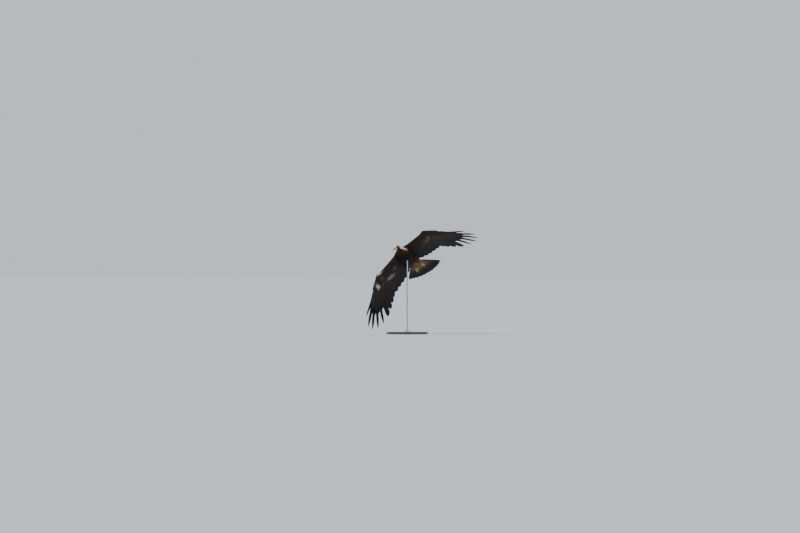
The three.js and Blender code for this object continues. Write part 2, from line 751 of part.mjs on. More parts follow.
function wingFlesh(wing) {
  const place = wingSpace(wing);
  const sections = ARM_SECTIONS.concat(HAND_SECTIONS.map(({ front, rear, half }) => ({
    front: handPoint(wing, ...front), rear: handPoint(wing, ...rear), half,
  })));
  const bottom = FLESH_TOP.slice(1).reverse()
    .map(([share, high]) => [share, -high * FLESH_BOTTOM_SHARE]);
  const outline = [...FLESH_TOP, ...bottom];
  return loft(sections.map(({ front, rear, half }) => outline.map(([share, high]) => place(
    front[0] + (rear[0] - front[0]) * share,
    front[1] + (rear[1] - front[1]) * share,
    high * half,
  ))));
}

// Root and tip of a primary, counted from the body outwards, from 0 to 1.
function primaryQuill(wing, share) {
  const rank = (PRIMARY_COUNT - 1) * (1 - share);
  const near = Math.min(Math.floor(rank), PRIMARY_COUNT - 2);
  const part = rank - near;
  const [tipA, tipB] = [primaryTip(wing, near), primaryTip(wing, near + 1)];
  const tip = [tipA[0] + (tipB[0] - tipA[0]) * part, tipA[1] + (tipB[1] - tipA[1]) * part];
  const reach = PRIMARY_ROOT_FIRST + (PRIMARY_ROOT_LAST - PRIMARY_ROOT_FIRST) * share;
  return { root: handPoint(wing, reach, PRIMARY_ROOT_FRONT + PRIMARY_ROOT_RISE * share), tip };
}

function secondaryQuill(wing, share) {
  const rootLine = [...SECONDARY_ROOTS, handPoint(wing, ...SECONDARY_LAST_ROOT)];
  const last = primaryTip(wing, PRIMARY_COUNT - 1);
  const out = TRAILING_END_OUT + (last[0] - TRAILING_STEP[0] - TRAILING_END_OUT) * share;
  const forward = TRAILING_END_BACK + (last[1] - TRAILING_STEP[1] - TRAILING_END_BACK) * share;
  const bow = TRAILING_BOW * Math.sin(Math.PI * share);
  return { root: pointOn(rootLine, share), tip: [out, forward - bow] };
}

// A quill cut to a shorter piece of another's line, from one distance from the root to the next.
function shortened(quill, start, end) {
  const out = quill.tip[0] - quill.root[0];
  const forward = quill.tip[1] - quill.root[1];
  const length = Math.hypot(out, forward);
  const at = (distance) => [
    quill.root[0] + (out * distance) / length,
    quill.root[1] + (forward * distance) / length,
  ];
  return { ...quill, root: at(start), tip: at(end) };
}

// The two rows of coverts of one wing part, over and under the flight feathers.
function covertRows(place, quillAt, rows, draw) {
  return rows.flatMap((row) => {
    const quills = [];
    for (let index = 0; index < row.count; index += 1) {
      const share = row.from + ((row.to - row.from) * index) / (row.count - 1);
      const variation = 1 + COVERT_VARIATION * (draw() - 0.5);
      const end = (row.end + (row.endTip - row.end) * share) * variation;
      const base = shortened(quillAt(share), row.start, end);
      quills.push({ ...base, level: row.level, outer: row.outer, inner: row.inner });
    }
    return featherRow(place, quills, COVERT_STYLE);
  });
}

// The secondaries of one wing, counted from the body outwards.
function secondaryQuills(wing, draw) {
  return Array.from({ length: SECONDARY_COUNT }, (unused, index) => {
    const extra = index % LONG_SECONDARY_EVERY === 0 ? LONG_SECONDARY_EXTRA : 0;
    const quill = secondaryQuill(wing, index / (SECONDARY_COUNT - 1));
    const length = Math.hypot(quill.tip[0] - quill.root[0], quill.tip[1] - quill.root[1]);
    const grown = shortened(quill, 0, length + extra + LENGTH_VARIATION * (draw() - 0.5));
    return { ...grown, ...SECONDARY_WIDTHS, level: FLIGHT_LEVEL };
  });
}

// The primaries of one wing, counted from the wrist outwards. The last ones are fingers.
function primaryQuills(wing) {
  return Array.from({ length: PRIMARY_COUNT }, (unused, index) => {
    const quill = { ...primaryQuill(wing, index / (PRIMARY_COUNT - 1)), level: FLIGHT_LEVEL };
    const fromTip = PRIMARY_COUNT - 1 - index;
    if (fromTip >= FINGER_COUNT) {
      return { ...quill, ...PRIMARY_WIDTHS, curl: wing.curl * PRIMARY_CURL, bend: PRIMARY_BEND };
    }
    const widths = fromTip === 0 ? OUTERMOST_WIDTHS : FINGER_WIDTHS;
    return { ...quill, ...widths, curl: wing.curl * FINGER_CURL[fromTip], bend: FINGER_BEND };
  });
}

function wingSolid(wing, seed) {
  const place = wingSpace(wing);
  const draw = drawFrom(seed);
  const primaries = primaryQuills(wing);
  const fingerStart = PRIMARY_COUNT - FINGER_COUNT;
  const hand = featherRow(place, primaries, PRIMARY_STYLE).slice(0, fingerStart)
    .concat(featherRow(place, primaries, FINGER_STYLE).slice(fingerStart));
  const alula = ALULA.map(({ root, tip, level }) => vane(place, {
    ...ALULA_SIZES, level, root: handPoint(wing, ...root), tip: handPoint(wing, ...tip),
  }, COVERT_STYLE));
  return wasm.Manifold.union([
    wingFlesh(wing),
    ...featherRow(place, secondaryQuills(wing, draw), FLIGHT_STYLE),
    ...hand,
    ...covertRows(place, (share) => secondaryQuill(wing, share), ARM_COVERT_ROWS, draw),
    ...covertRows(place, (share) => primaryQuill(wing, share), HAND_COVERT_ROWS, draw),
    ...alula,
  ]);
}

// A thin wall across the wing at the wrist parts the arm from the hand.
function wristCut(wing) {
  const place = wingSpace(wing);
  const primary = primaryQuill(wing, 0);
  const secondary = secondaryQuill(wing, 1);
  const between = (end) => [0, 1].map((axis) => (primary[end][axis] + secondary[end][axis]) / 2);
  const tip = between("tip");
  const end = [tip[0] + CUT_END[0], tip[1] + CUT_END[1]];
  const line = [handPoint(wing, ...CUT_START), between("root"), tip, end];
  const face = (side) => Array.from({ length: CUT_STEPS + 1 }, (unused, step) => {
    const [out, forward] = pointOn(line, step / CUT_STEPS);
    return [-CUT_REACH, 0, CUT_REACH].map((up) => place(out + (side * GAP) / 2, forward, up));
  });
  return sheet(face(1), face(-1));
}

// Tail frame: backwards, to the left and towards the back of the bird.
const tailBack = new THREE.Vector3(-Math.cos(TAIL_PITCH), 0, -Math.sin(TAIL_PITCH));
const tailLeft = new THREE.Vector3(0, Math.cos(TAIL_TWIST), -Math.sin(TAIL_TWIST));
const tailUp = new THREE.Vector3().crossVectors(tailLeft, tailBack).normalize();

function tailPoint(back, left, up) {
  const arch = TAIL_ARCH * left * left;
  return TAIL_ROOT.clone().addScaledVector(tailBack, back)
    .addScaledVector(tailLeft, left).addScaledVector(tailUp, up - arch);
}

function tailRoot(grow) {
  const rings = TAIL_ROOT_STATIONS.map(([back, halfWidth, halfHeight]) => {
    const ring = [];
    for (let step = 0; step < TAIL_ROOT_SIDES; step += 1) {
      const angle = (2 * Math.PI * step) / TAIL_ROOT_SIDES;
      ring.push(tailPoint(
        back, (halfWidth + grow) * Math.cos(angle), (halfHeight + grow) * Math.sin(angle),
      ));
    }
    return ring;
  });
  return loft(rings);
}

// One side of the tail's fan, with its coverts. Outwards is away from the middle feather.
function tailSide(side, draw) {
  const place = (out, forward, up) => tailPoint(-forward, side * out, up);
  const fan = (share, reach) => {
    const angle = TAIL_HALF_FAN * (MIDDLE_FAN_SHARE + (1 - MIDDLE_FAN_SHARE) * share);
    return [reach * Math.sin(angle), -reach * Math.cos(angle)];
  };
  const rectrices = Array.from({ length: TAIL_PAIRS }, (unused, index) => {
    const share = index / (TAIL_PAIRS - 1);
    const reach = TAIL_LENGTH - RECTRIX.shorter * share ** 2 + LENGTH_VARIATION * (draw() - 0.5);
    const inner = index === 0 ? RECTRIX.middle : RECTRIX.inner;
    return { ...RECTRIX, root: fan(share, TAIL_ROOT_REACH), tip: fan(share, reach), inner };
  });
  const coverts = TAIL_COVERT_ROWS.flatMap((row) => {
    const quills = Array.from({ length: row.count }, (unused, index) => {
      const part = index / (row.count - 1);
      const share = TAIL_COVERTS.from + (TAIL_COVERTS.to - TAIL_COVERTS.from) * part;
      const variation = 1 + COVERT_VARIATION * (draw() - 0.5);
      const reach = row.end * (1 - TAIL_COVERTS.shorter * share) * variation;
      const inner = index === 0 ? TAIL_COVERTS.middle : row.inner;
      return { ...row, root: fan(share, row.start), tip: fan(share, reach), inner };
    });
    return featherRow(place, quills, COVERT_STYLE);
  });
  return [...featherRow(place, rectrices, FLIGHT_STYLE), ...coverts];
}

// Legs, built on the left and mirrored.
function thighSolid(grow) {
  const centres = THIGH_STATIONS.map(([x, y, z]) => new THREE.Vector3(x, y, z));
  return tube(centres, THIGH_STATIONS.map((station) => station[3] + grow), THIGH_SIDES);
}

function tarsusSolid(grow) {
  const centres = TARSUS_STATIONS.map(([x, y, z]) => new THREE.Vector3(x, y, z));
  return tube(centres, TARSUS_STATIONS.map((station) => station[3] + grow), TARSUS_SIDES);
}

// Points along a toe: it leaves the foot backwards and curls under.
function toePath(toe, from, length, steps) {
  const spread = toe.spread * DEGREE;
  const points = [];
  const point = FOOT_CENTRE.clone();
  const stride = (toe.length + toe.claw) / TOE_STEPS;
  let travelled = 0;
  for (let index = 0; index <= TOE_STEPS; index += 1) {
    points.push(point.clone());
    const share = travelled / toe.length;
    const dip = (toe.start + toe.curl * Math.min(share, MOST_CURL)) * DEGREE;
    const flat = Math.cos(dip) * stride;
    point.x -= Math.cos(spread) * flat;
    point.y += Math.sin(spread) * flat;
    point.z -= Math.sin(dip) * stride;
    travelled += stride;
  }
  const path = [];
  for (let step = 0; step <= steps; step += 1) {
    const goal = from + (length * step) / steps;
    const near = Math.min(Math.round(goal / stride), TOE_STEPS);
    path.push(points[near]);
  }
  return path;
}

function footSolid() {
  const pad = new THREE.SphereGeometry(FOOT_RADIUS, ...FOOT_PAD_SIDES);
  pad.translate(FOOT_CENTRE.x, FOOT_CENTRE.y, FOOT_CENTRE.z);
  const pieces = [solidOf(pad)];
  for (const toe of TOES) {
    const path = toePath(toe, 0, toe.length, TOE_PARTS);
    const radii = path.map((point, index) => toe.radius * (1 - (TOE_TAPER * index) / TOE_PARTS));
    pieces.push(tube(path, radii, TOE_SIDES));
  }
  return wasm.Manifold.union(pieces).subtract(tarsusSolid(GAP));
}

// A claw starts square to its toe's end, a gap away from it.
function clawSolid(toe) {
  const [before, end] = toePath(toe, 0, toe.length, TOE_PARTS).slice(-2);
  const heading = end.clone().sub(before).normalize();
  const root = end.clone().addScaledVector(heading, GAP);
  const second = root.clone().addScaledVector(heading, CLAW_ROOT_LENGTH);
  const path = toePath(toe, toe.length, toe.claw, CLAW_SHARES.length - 2).slice(1);
  const radii = CLAW_SHARES.map((share) => share * toe.radius);
  return tube([root, second, ...path], radii, TOE_SIDES);
}

// The stand's rod is upright in the world, so its place in the bird's frame comes from the
// bird's attitude.
const forwardAxis = new THREE.Vector3(0, -Math.cos(PITCH_UP), Math.sin(PITCH_UP));
const levelUp = new THREE.Vector3(0, Math.sin(PITCH_UP), Math.cos(PITCH_UP));
const leftAxis = new THREE.Vector3(Math.cos(BANK), 0, 0).addScaledVector(levelUp, Math.sin(BANK));
const upAxis = new THREE.Vector3(-Math.sin(BANK), 0, 0).addScaledVector(levelUp, Math.cos(BANK));
const birdMatrix = new THREE.Matrix4().makeBasis(forwardAxis, leftAxis, upAxis);
const entry = ROD_ENTRY.clone().applyMatrix4(birdMatrix);
const birdPlace = new THREE.Vector3(-entry.x, -entry.y, ORIGIN_HEIGHT);
birdMatrix.setPosition(birdPlace);
const rodTop = ORIGIN_HEIGHT + entry.z + ROD_IN_BODY;

function uprightCylinder(radius, bottom, top, sides) {
  const cylinder = new THREE.CylinderGeometry(radius, radius, top - bottom, sides);
  cylinder.rotateX(Math.PI / 2);
  cylinder.translate(0, 0, (top + bottom) / 2);
  return solidOf(cylinder);
}

function rodPocket() {
  const pocket = uprightCylinder(ROD_RADIUS + GAP, BASE_HEIGHT, rodTop + GAP, POCKET_SIDES);
  return placed(pocket, birdMatrix.clone().invert());
}

// Assembly of the bird.
const torsoOuter = torsoSolid(GAP);
const headOuter = placed(headCore(GAP), headMatrix);
const torso = torsoSolid(0).subtract(headOuter).subtract(rodPocket());
addPart(bird, "torso", torso, "bodyBrown");

const upperBillWhole = upperBill(0).subtract(headCore(GAP));
const cere = upperBillWhole.intersect(slabAcross(0, CERE_END))
  .subtract(nostril(1)).subtract(nostril(-1));
const billTip = upperBillWhole.intersect(slabAcross(CERE_END + GAP, BEYOND_HEAD));
const head = wasm.Manifold.union([
  headCore(0), lidSolid(1), lidSolid(-1), browSolid(1), browSolid(-1),
]).subtract(eyeSolid(1, GAP)).subtract(eyeSolid(-1, GAP)).subtract(mouthGroove());
addPart(bird, "head", placed(head, headMatrix), "napeGold");
addPart(bird, "cere", placed(cere, headMatrix), "cereYellow");
addPart(bird, "bill_upper", placed(billTip, headMatrix), "hornDark");
addPart(bird, "bill_lower", placed(lowerBill().subtract(headCore(GAP)), headMatrix), "hornDark");
addPart(bird, "eye_left", placed(eyeSolid(1, 0), headMatrix), "eyeAmber");
addPart(bird, "eye_right", placed(eyeSolid(-1, 0), headMatrix), "eyeAmber");

const neck = neckSolid(0).subtract(torsoOuter).subtract(headOuter);
addPart(bird, "neck", neck, "napeGold");
const neckOuter = neckSolid(GAP);

// How far a piece reaches sideways from the middle of the body.
function sideReach(piece) {
  const { min, max } = piece.boundingBox();
  return Math.max(Math.abs(min[1]), Math.abs(max[1]));
}

for (const [name, wing] of Object.entries(WINGS)) {
  const whole = wingSolid(wing, WING_SEEDS[name])
    .subtract(tailRoot(GAP)).subtract(torsoOuter).subtract(neckOuter).subtract(wristCut(wing));
  const pieces = whole.decompose().sort((a, b) => b.volume() - a.volume()).slice(0, 2);
  const [arm, hand] = pieces.sort((a, b) => sideReach(a) - sideReach(b));
  addPart(bird, `wing_${name}_arm`, arm, "wingBrown");
  addPart(bird, `wing_${name}_hand`, hand, "wingBrown");
}

const tailDraw = drawFrom(TAIL_SEED);
const tail = wasm.Manifold.union([
  tailRoot(0), ...tailSide(1, tailDraw), ...tailSide(-1, tailDraw),
]).subtract(torsoOuter);
addPart(bird, "tail", tail, "tailGrey");

const thigh = thighSolid(0).subtract(torsoOuter);
const tarsus = tarsusSolid(0).subtract(thighSolid(GAP));
const foot = footSolid();
addPart(bird, "thigh_left", thigh, "legTawny");
addPart(bird, "thigh_right", mirrored(thigh), "legTawny");
addPart(bird, "tarsus_left", tarsus, "legTawny");
addPart(bird, "tarsus_right", mirrored(tarsus), "legTawny");
addPart(bird, "foot_left", foot, "footYellow");
addPart(bird, "foot_right", mirrored(foot), "footYellow");
TOES.forEach((toe, index) => {
  const claw = clawSolid(toe);
  addPart(bird, `claw_left_${index + 1}`, claw, "hornDark");
  addPart(bird, `claw_right_${index + 1}`, mirrored(claw), "hornDark");
});

// Assembly of the stand.
function baseSolid() {
  const profile = [
    [0, 0], [BASE_RADIUS - BASE_FOOT, 0], [BASE_RADIUS, BASE_FOOT],
    [BASE_RADIUS, BASE_HEIGHT - BASE_CHAMFER], [BASE_RADIUS - BASE_CHAMFER, BASE_HEIGHT],
    [0, BASE_HEIGHT],
  ].map(([radius, height]) => new THREE.Vector2(radius, height));
  const lathe = new THREE.LatheGeometry(profile, BASE_SIDES);
  lathe.rotateX(Math.PI / 2);
  return solidOf(lathe);
}

addPart(stand, "stand_base", baseSolid(), "baseWood");
const rodBottom = BASE_HEIGHT + GAP;
addPart(stand, "stand_rod", uprightCylinder(ROD_RADIUS, rodBottom, rodTop, ROD_SIDES), "rodSteel");
const collar = uprightCylinder(COLLAR_RADIUS, rodBottom, rodBottom + COLLAR_HEIGHT, COLLAR_SIDES)
  .subtract(uprightCylinder(ROD_RADIUS + GAP, 0, rodTop, ROD_SIDES));
addPart(stand, "stand_collar", collar, "rodSteel");

bird.matrixAutoUpdate = false;
bird.matrix.copy(birdMatrix);
const eagle = new THREE.Group();
eagle.add(bird, stand);
eagle.updateMatrixWorld(true);

export default eagle;
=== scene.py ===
"""Dresses the display model of a golden eagle in a banked glide.

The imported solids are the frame. This script adds one skin, a coat of mesh feathers over it,
the flight feathers of the wings and tail, the bill, eyes, lids and feet, and the finish of
the stand. Shapes are worked out in millimetres in the bird's own frame, with x forward, y to
its left and z towards its back, and become metres in the row frame at the very end.
"""

import logging
import math
from collections.abc import Callable
from dataclasses import dataclass, field, replace
from enum import Enum
from functools import partial

import bpy
import numpy as np
from bpy.types import Material, Mesh, Node, NodeSocket, NodeTree, Object
from mathutils.bvhtree import BVHTree
from mathutils.kdtree import KDTree
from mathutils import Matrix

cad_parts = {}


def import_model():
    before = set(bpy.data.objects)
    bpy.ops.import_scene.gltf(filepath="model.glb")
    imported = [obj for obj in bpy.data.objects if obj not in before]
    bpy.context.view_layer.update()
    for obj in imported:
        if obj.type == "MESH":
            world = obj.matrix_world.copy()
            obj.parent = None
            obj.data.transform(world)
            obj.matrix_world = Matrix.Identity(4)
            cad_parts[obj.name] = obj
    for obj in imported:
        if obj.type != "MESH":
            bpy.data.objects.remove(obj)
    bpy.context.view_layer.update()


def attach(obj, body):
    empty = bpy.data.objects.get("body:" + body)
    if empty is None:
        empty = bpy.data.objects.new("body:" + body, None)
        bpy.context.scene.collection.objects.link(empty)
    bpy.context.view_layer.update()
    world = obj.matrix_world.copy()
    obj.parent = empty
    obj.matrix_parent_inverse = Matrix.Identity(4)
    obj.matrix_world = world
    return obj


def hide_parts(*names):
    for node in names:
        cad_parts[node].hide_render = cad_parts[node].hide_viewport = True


Array = np.ndarray
Placer = Callable[[Array, Array, Array], Array]
Rule = Callable[[Array], Array]
LOG = logging.getLogger("eagle")
MM = 0.001
SIDES = ((1, "left"), (-1, "right"))
BODY = "root"
UP = np.array([0.0, 0.0, 1.0])


# Small helpers on whole arrays.
def ramp(value: Array | float, width: float = 1.0) -> Array:
    """Returns 0 below 0, 1 past the width, and between them three squares less two cubes."""
    share = np.clip(value / width, 0.0, 1.0)
    return share * share * (3.0 - 2.0 * share)


def stack(*parts: Array | float) -> Array:
    """Returns points or vectors made of their components."""
    return np.stack(np.broadcast_arrays(*parts), axis=-1)


def split(points: Array) -> Array:
    """Returns the components of points or vectors."""
    return np.moveaxis(points, -1, 0)


def norm(vectors: Array) -> Array:
    """Returns the lengths of vectors."""
    return np.linalg.norm(vectors, axis=-1)


def turns(count: int) -> Array:
    """Returns even angles of one full turn, from 0 on."""
    return np.linspace(0.0, 2 * math.pi, count, endpoint=False)


def ring_grid(start: float, stop: float, rings: int, sides: int) -> list[Array]:
    """Returns grids of the place along a form and of the angle round it."""
    return np.meshgrid(np.linspace(start, stop, rings), turns(sides), indexing="ij")


def way_along(line: Array) -> Array:
    """Returns the distance from a line's start to each of its points."""
    return np.append(0.0, np.cumsum(norm(np.diff(line, axis=0))))


def unit(vectors: Array) -> Array:
    """Returns the vectors divided by their lengths."""
    return vectors / np.maximum(np.linalg.norm(vectors, axis=-1, keepdims=True), 1e-9)


def bell(distance: Array, reach: float) -> Array:
    """Returns a bell curve: e to the minus square of distance over reach."""
    return np.exp(-((distance / reach) ** 2))


def blend_rows(table: Array, place: Array) -> Array:
    """Reads a table of stations between its rows with a smooth cubic through them.

    Args:
        table: One row for each station.
        place: Where to read, counted in rows from 0.

    Returns:
        The cubic through the four nearest rows, for each place.
    """
    last = len(table) - 1
    place = np.clip(place, 0.0, last)
    row = np.minimum(np.floor(place).astype(int), last - 1)
    t = (place - row)[..., None]
    before, here = table[np.maximum(row - 1, 0)], table[row]
    after, beyond = table[row + 1], table[np.minimum(row + 2, last)]
    slope_here, slope_after = (after - before) / 2, (beyond - here) / 2
    rise = after - here
    cubic = slope_here + slope_after - 2 * rise
    return here + t * (slope_here + t * (rise - slope_here - cubic + t * cubic))


def colour_of(code: int) -> Array:
    """Returns a colour code of two hexadecimal digits for each of three lights, made linear."""
    parts = np.array([code >> 16 & 255, code >> 8 & 255, code & 255]) / 255.0
    return np.where(parts <= 0.04045, parts / 12.92, ((parts + 0.055) / 1.055) ** 2.4)


# Where the bird hangs in the row frame.
@dataclass(frozen=True)
class Attitude:
    """Pitch, bank and height of the bird, and where the rod enters it."""

    pitch: float = math.radians(18.93)
    bank: float = math.radians(44.35)
    height: float = 950.0
    rod_entry: tuple[float, float, float] = (-60.0, 0.0, -95.0)

    def axes(self) -> Array:
        """Returns forward, left and up of the bird as rows in the row frame."""
        level = np.array([0.0, math.sin(self.pitch), math.cos(self.pitch)])
        side = np.array([1.0, 0.0, 0.0])
        forward = np.array([0.0, -math.cos(self.pitch), math.sin(self.pitch)])
        left = side * math.cos(self.bank) + level * math.sin(self.bank)
        up = level * math.cos(self.bank) - side * math.sin(self.bank)
        return np.array([forward, left, up])

    def origin(self) -> Array:
        """Returns the place of the bird's own origin in the row frame, in millimetres."""
        entry = np.array(self.rod_entry) @ self.axes()
        return np.array([-entry[0], -entry[1], self.height])

    def to_row(self, points: Array) -> Array:
        """Turns points of the bird's frame in millimetres into metres in the row frame."""
        return (points @ self.axes() + self.origin()) * MM

    def from_row(self, points: Array) -> Array:
        """Turns metres of the row frame into millimetres in the bird's frame."""
        return (points / MM - self.origin()) @ self.axes().T

    def world_up(self) -> Array:
        """Returns the row frame's up, told in the bird's frame."""
        return self.axes() @ UP


ATTITUDE = Attitude()


# Colours of the plumage, by their plain names.
class Tint(Enum):
    """Named colours of the bird."""

    UMBER = 0x1A1411
    DEEP = 0x131010
    BROWN = 0x3A2B22
    RUSSET = 0x633C1C
    TAWNY = 0x7E5C34
    GOLD = 0xC79763
    # The nape's gold lifted to pinkish white: a painted sun highlight on the golden hackles.
    SUNLIT_GOLD = 0xF0D5C6
    GREY_BROWN = 0x241E1C
    PALE_GREY = 0x8A827B
    BLUE_BLACK = 0x0C0E14
    CREAM = 0xEADFD2
    ROSE_GREY = 0x664C3F
    OLIVE = 0x6F5C36

    @property
    def light(self) -> Array:
        """The colour as linear light."""
        return colour_of(self.value)


def mix(first: Array | Tint, second: Array | Tint, share: Array | float) -> Array:
    """Returns a blend of two colours or vectors, by the share of the second."""
    first, second = (part.light if isinstance(part, Tint) else part for part in (first, second))
    share = np.clip(np.asarray(share, float), 0.0, 1.0)[..., None]
    return first * (1 - share) + second * share


# Meshes.
def joined_parts(parts: list[tuple[Array, Array]]) -> tuple[Array, Array]:
    """Joins the points and quads of several parts into one set of each."""
    starts = np.cumsum([0] + [len(points) for points, _ in parts[:-1]])
    quads = np.concatenate([part[1] + start for part, start in zip(parts, starts)])
    return np.concatenate([part[0] for part in parts]), quads


@dataclass
class MeshData:
    """Points, quads and what each point carries, ready to become one piece."""

    points: Array
    quads: Array
    colour: Array
    tone: Array
    span: Array
    vane: Array
    patch: Array

    @staticmethod
    def joined(parts: list["MeshData"]) -> "MeshData":
        """Joins several sets of meshes into one, with their face numbers moved on."""
        names = ("colour", "tone", "span", "vane", "patch")
        values = {name: np.concatenate([getattr(part, name) for part in parts]) for name in names}
        return MeshData(*joined_parts([(part.points, part.quads) for part in parts]), **values)


def outward(points: Array, quads: Array) -> Array:
    """Turns closed quads outwards: the sum of their signed volumes is made positive.

    Args:
        points: Corners of the quads.
        quads: Four corner numbers for each face.

    Returns:
        The quads, turned round if their signed volume was negative. A triangle's doubled
        corner stays last.
    """
    centre = points.mean(axis=0)
    a, b, c, d = (points[quads[:, corner]] - centre for corner in range(4))
    volume = np.sum(a * np.cross(b, c)) + np.sum(a * np.cross(c, d))
    return np.roll(quads[:, ::-1], 2, axis=1) if volume < 0 else quads


def new_mesh(name: str, points: Array, quads: Array) -> Mesh:
    """Makes a mesh of quads, where a quad whose last two corners agree is a triangle.

    Args:
        name: Name of the mesh.
        points: Corners in metres, in the row frame.
        quads: Four corner numbers for each face.

    Returns:
        The mesh, shaded smooth.
    """
    mesh = bpy.data.meshes.new(name)
    mesh.vertices.add(len(points))
    mesh.vertices.foreach_set("co", points.astype(np.float32).ravel())
    is_quad = quads[:, 2] != quads[:, 3]
    sizes = np.where(is_quad, 4, 3)
    keep = np.ones(quads.shape, bool)
    keep[:, 3] = is_quad
    corners = quads[keep]
    starts = np.concatenate([[0], np.cumsum(sizes)[:-1]])
    mesh.loops.add(len(corners))
    mesh.loops.foreach_set("vertex_index", corners.astype(np.int32))
    mesh.polygons.add(len(quads))
    mesh.polygons.foreach_set("loop_start", starts.astype(np.int32))
    mesh.update(calc_edges=True)
    mesh.shade_smooth()
    return mesh


def add_uv(mesh: Mesh, name: str, values: Array) -> None:
    """Adds a UV map with one pair of values for each face corner."""
    layer = mesh.uv_layers.new(name=name)
    layer.data.foreach_set("uv", values.astype(np.float32).ravel())


def add_colour(mesh: Mesh, name: str, values: Array) -> None:
    """Adds a colour to each point of the mesh."""
    layer = mesh.attributes.new(name, "FLOAT_COLOR", "POINT")
    four = np.concatenate([values, np.ones((len(values), 1))], axis=1)
    layer.data.foreach_set("color", four.astype(np.float32).ravel())


def add_value(mesh: Mesh, name: str, values: Array) -> None:
    """Adds a number to each point of the mesh."""
    layer = mesh.attributes.new(name, "FLOAT", "POINT")
    layer.data.foreach_set("value", values.astype(np.float32))


@dataclass(frozen=True)
class Piece:
    """A finished mesh's name, slot and the solids it stands for, and how it joins the scene with its
    finish.
    """

    name: str
    slot: str
    replaces: tuple[str, ...] = ()

    def show(self, mesh: Mesh, material: Material) -> Object:
        """Puts the mesh in the scene as a piece that rides on the bird's body.

        Args:
            mesh: The finished mesh, in the row frame.
            material: Its material.

        Returns:
            The new object.
        """
        mesh.materials.append(material)
        piece = bpy.data.objects.new(self.name, mesh)
        bpy.context.scene.collection.objects.link(piece)
        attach(piece, BODY)
        if self.replaces:
            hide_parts(*self.replaces)
        LOG.info("%s: %d faces", self.name, len(mesh.polygons))
        return piece


# Surfaces that the feathers grow from.
@dataclass
class RingSurface:
    """A closed body of oval rings along a line, smooth between its stations.

    A point is the ring's centre, plus its side axis times half width times the cosine of the
    angle, plus its up axis times the top or bottom height times the angle's sine.
    """

    centres: Array
    sides: Array
    ups: Array
    sizes: Array
    relief: Rule | None = None

    def point(self, u: Array, v: Array) -> Array:
        """Returns the surface's points at places along the line and angles round it."""
        table = np.concatenate([self.centres, self.sides, self.ups, self.sizes], axis=1)
        row = blend_rows(table, u)
        centre, side, up = row[..., 0:3], row[..., 3:6], row[..., 6:9]
        width, top, bottom = row[..., 9], row[..., 10], row[..., 11]
        rise = np.sin(v)
        high = np.where(rise > 0, top, bottom) * rise
        point = centre + side * (width * np.cos(v))[..., None] + up * high[..., None]
        if self.relief is not None:
            point = point + unit(point - centre) * self.relief(point)[..., None]
        return point

    def closed_grid(self, rings: int, sides: int) -> tuple[Array, Array]:
        """Returns points and quads of the whole surface, with a fan over each end."""
        return closed_rings(self.point(*ring_grid(0.0, len(self.centres) - 1.0, rings, sides)))


def ring_walls(rings: int, sides: int, joined: bool = False) -> Array:
    """Returns the quads between rings of points, and if joined also from the last to the first."""
    ring, side = np.meshgrid(np.arange(rings - (not joined)), np.arange(sides), indexing="ij")
    here, there, turn = ring * sides, (ring + 1) % rings * sides, (side + 1) % sides
    return stack(here + side, here + turn, there + turn, there + side).reshape(-1, 4)


def closed_rings(points: Array) -> tuple[Array, Array]:
    """Joins rings of points into quads, with a fan over each end.

    Args:
        points: Rings by sides by three.

    Returns:
        The flat points and the quads; a fan's triangle repeats its last corner.
    """
    rings, sides = points.shape[:2]
    hubs = np.stack([points[0].mean(axis=0), points[-1].mean(axis=0)])
    flat = np.concatenate([points.reshape(-1, 3), hubs])
    first, last, base = rings * sides, rings * sides + 1, (rings - 1) * sides
    here = np.arange(sides)
    there = (here + 1) % sides
    front, rear = stack(there, here, first, first), stack(base + here, base + there, last, last)
    return flat, outward(flat, np.concatenate([ring_walls(rings, sides), front, rear]))


def tube_surface(stations: Array) -> RingSurface:
    """Makes a round tube from stations of x, y, z and radius."""
    centres = stations[:, :3]
    ahead = np.roll(centres, -1, axis=0)
    ahead[-1] = centres[-1] * 2 - centres[-2]
    behind = np.roll(centres, 1, axis=0)
    behind[0] = centres[0] * 2 - centres[1]
    along = unit(ahead - behind)
    sides = unit(np.cross(UP, along))
    ups = np.cross(along, sides)
    sizes = np.repeat(stations[:, 3:4], 3, axis=1)
    return RingSurface(centres, sides, ups, sizes)


def inside_tube(points: Array, stations: Array) -> Array:
    """Tells which points lie in a round tube given by stations of x, y, z and radius."""
    found = np.zeros(points.shape[:-1], bool)
    for start, end in zip(stations[:-1], stations[1:]):
        step = end[:3] - start[:3]
        share = np.clip(((points - start[:3]) @ step) / (step @ step), 0.0, 1.0)
        nearest = start[:3] + share[..., None] * step
        radius = start[3] + share * (end[3] - start[3])
        found |= norm(points - nearest) < radius
    return found


# Feathers.
@dataclass(frozen=True)
class FeatherStyle:
    """Form of one kind of small feather, as shares of its length and width.

    The half width grows from the root's share to full at the peak. From round_from on it falls
    as one less the square of the share left, to the power round_power.
    """

    rows: int = 6
    columns: int = 5
    root_share: float = 0.35
    peak: float = 0.45
    round_from: float = 0.55
    round_power: float = 0.55
    thickness: float = 0.5
    camber: float = 0.16
    barb_slope: float = 0.45
    sink: float = 0.9
    lift_power: float = 1.15

    def half_width(self, share: Array) -> Array:
        """Returns the half width as a share, at shares of the length."""
        rise = self.root_share + (1 - self.root_share) * ramp(share, self.peak)
        left = np.clip((share - self.round_from) / (1 - self.round_from), 0.0, 1.0)
        return np.maximum(rise * (1 - left**2) ** self.round_power, 0.05)


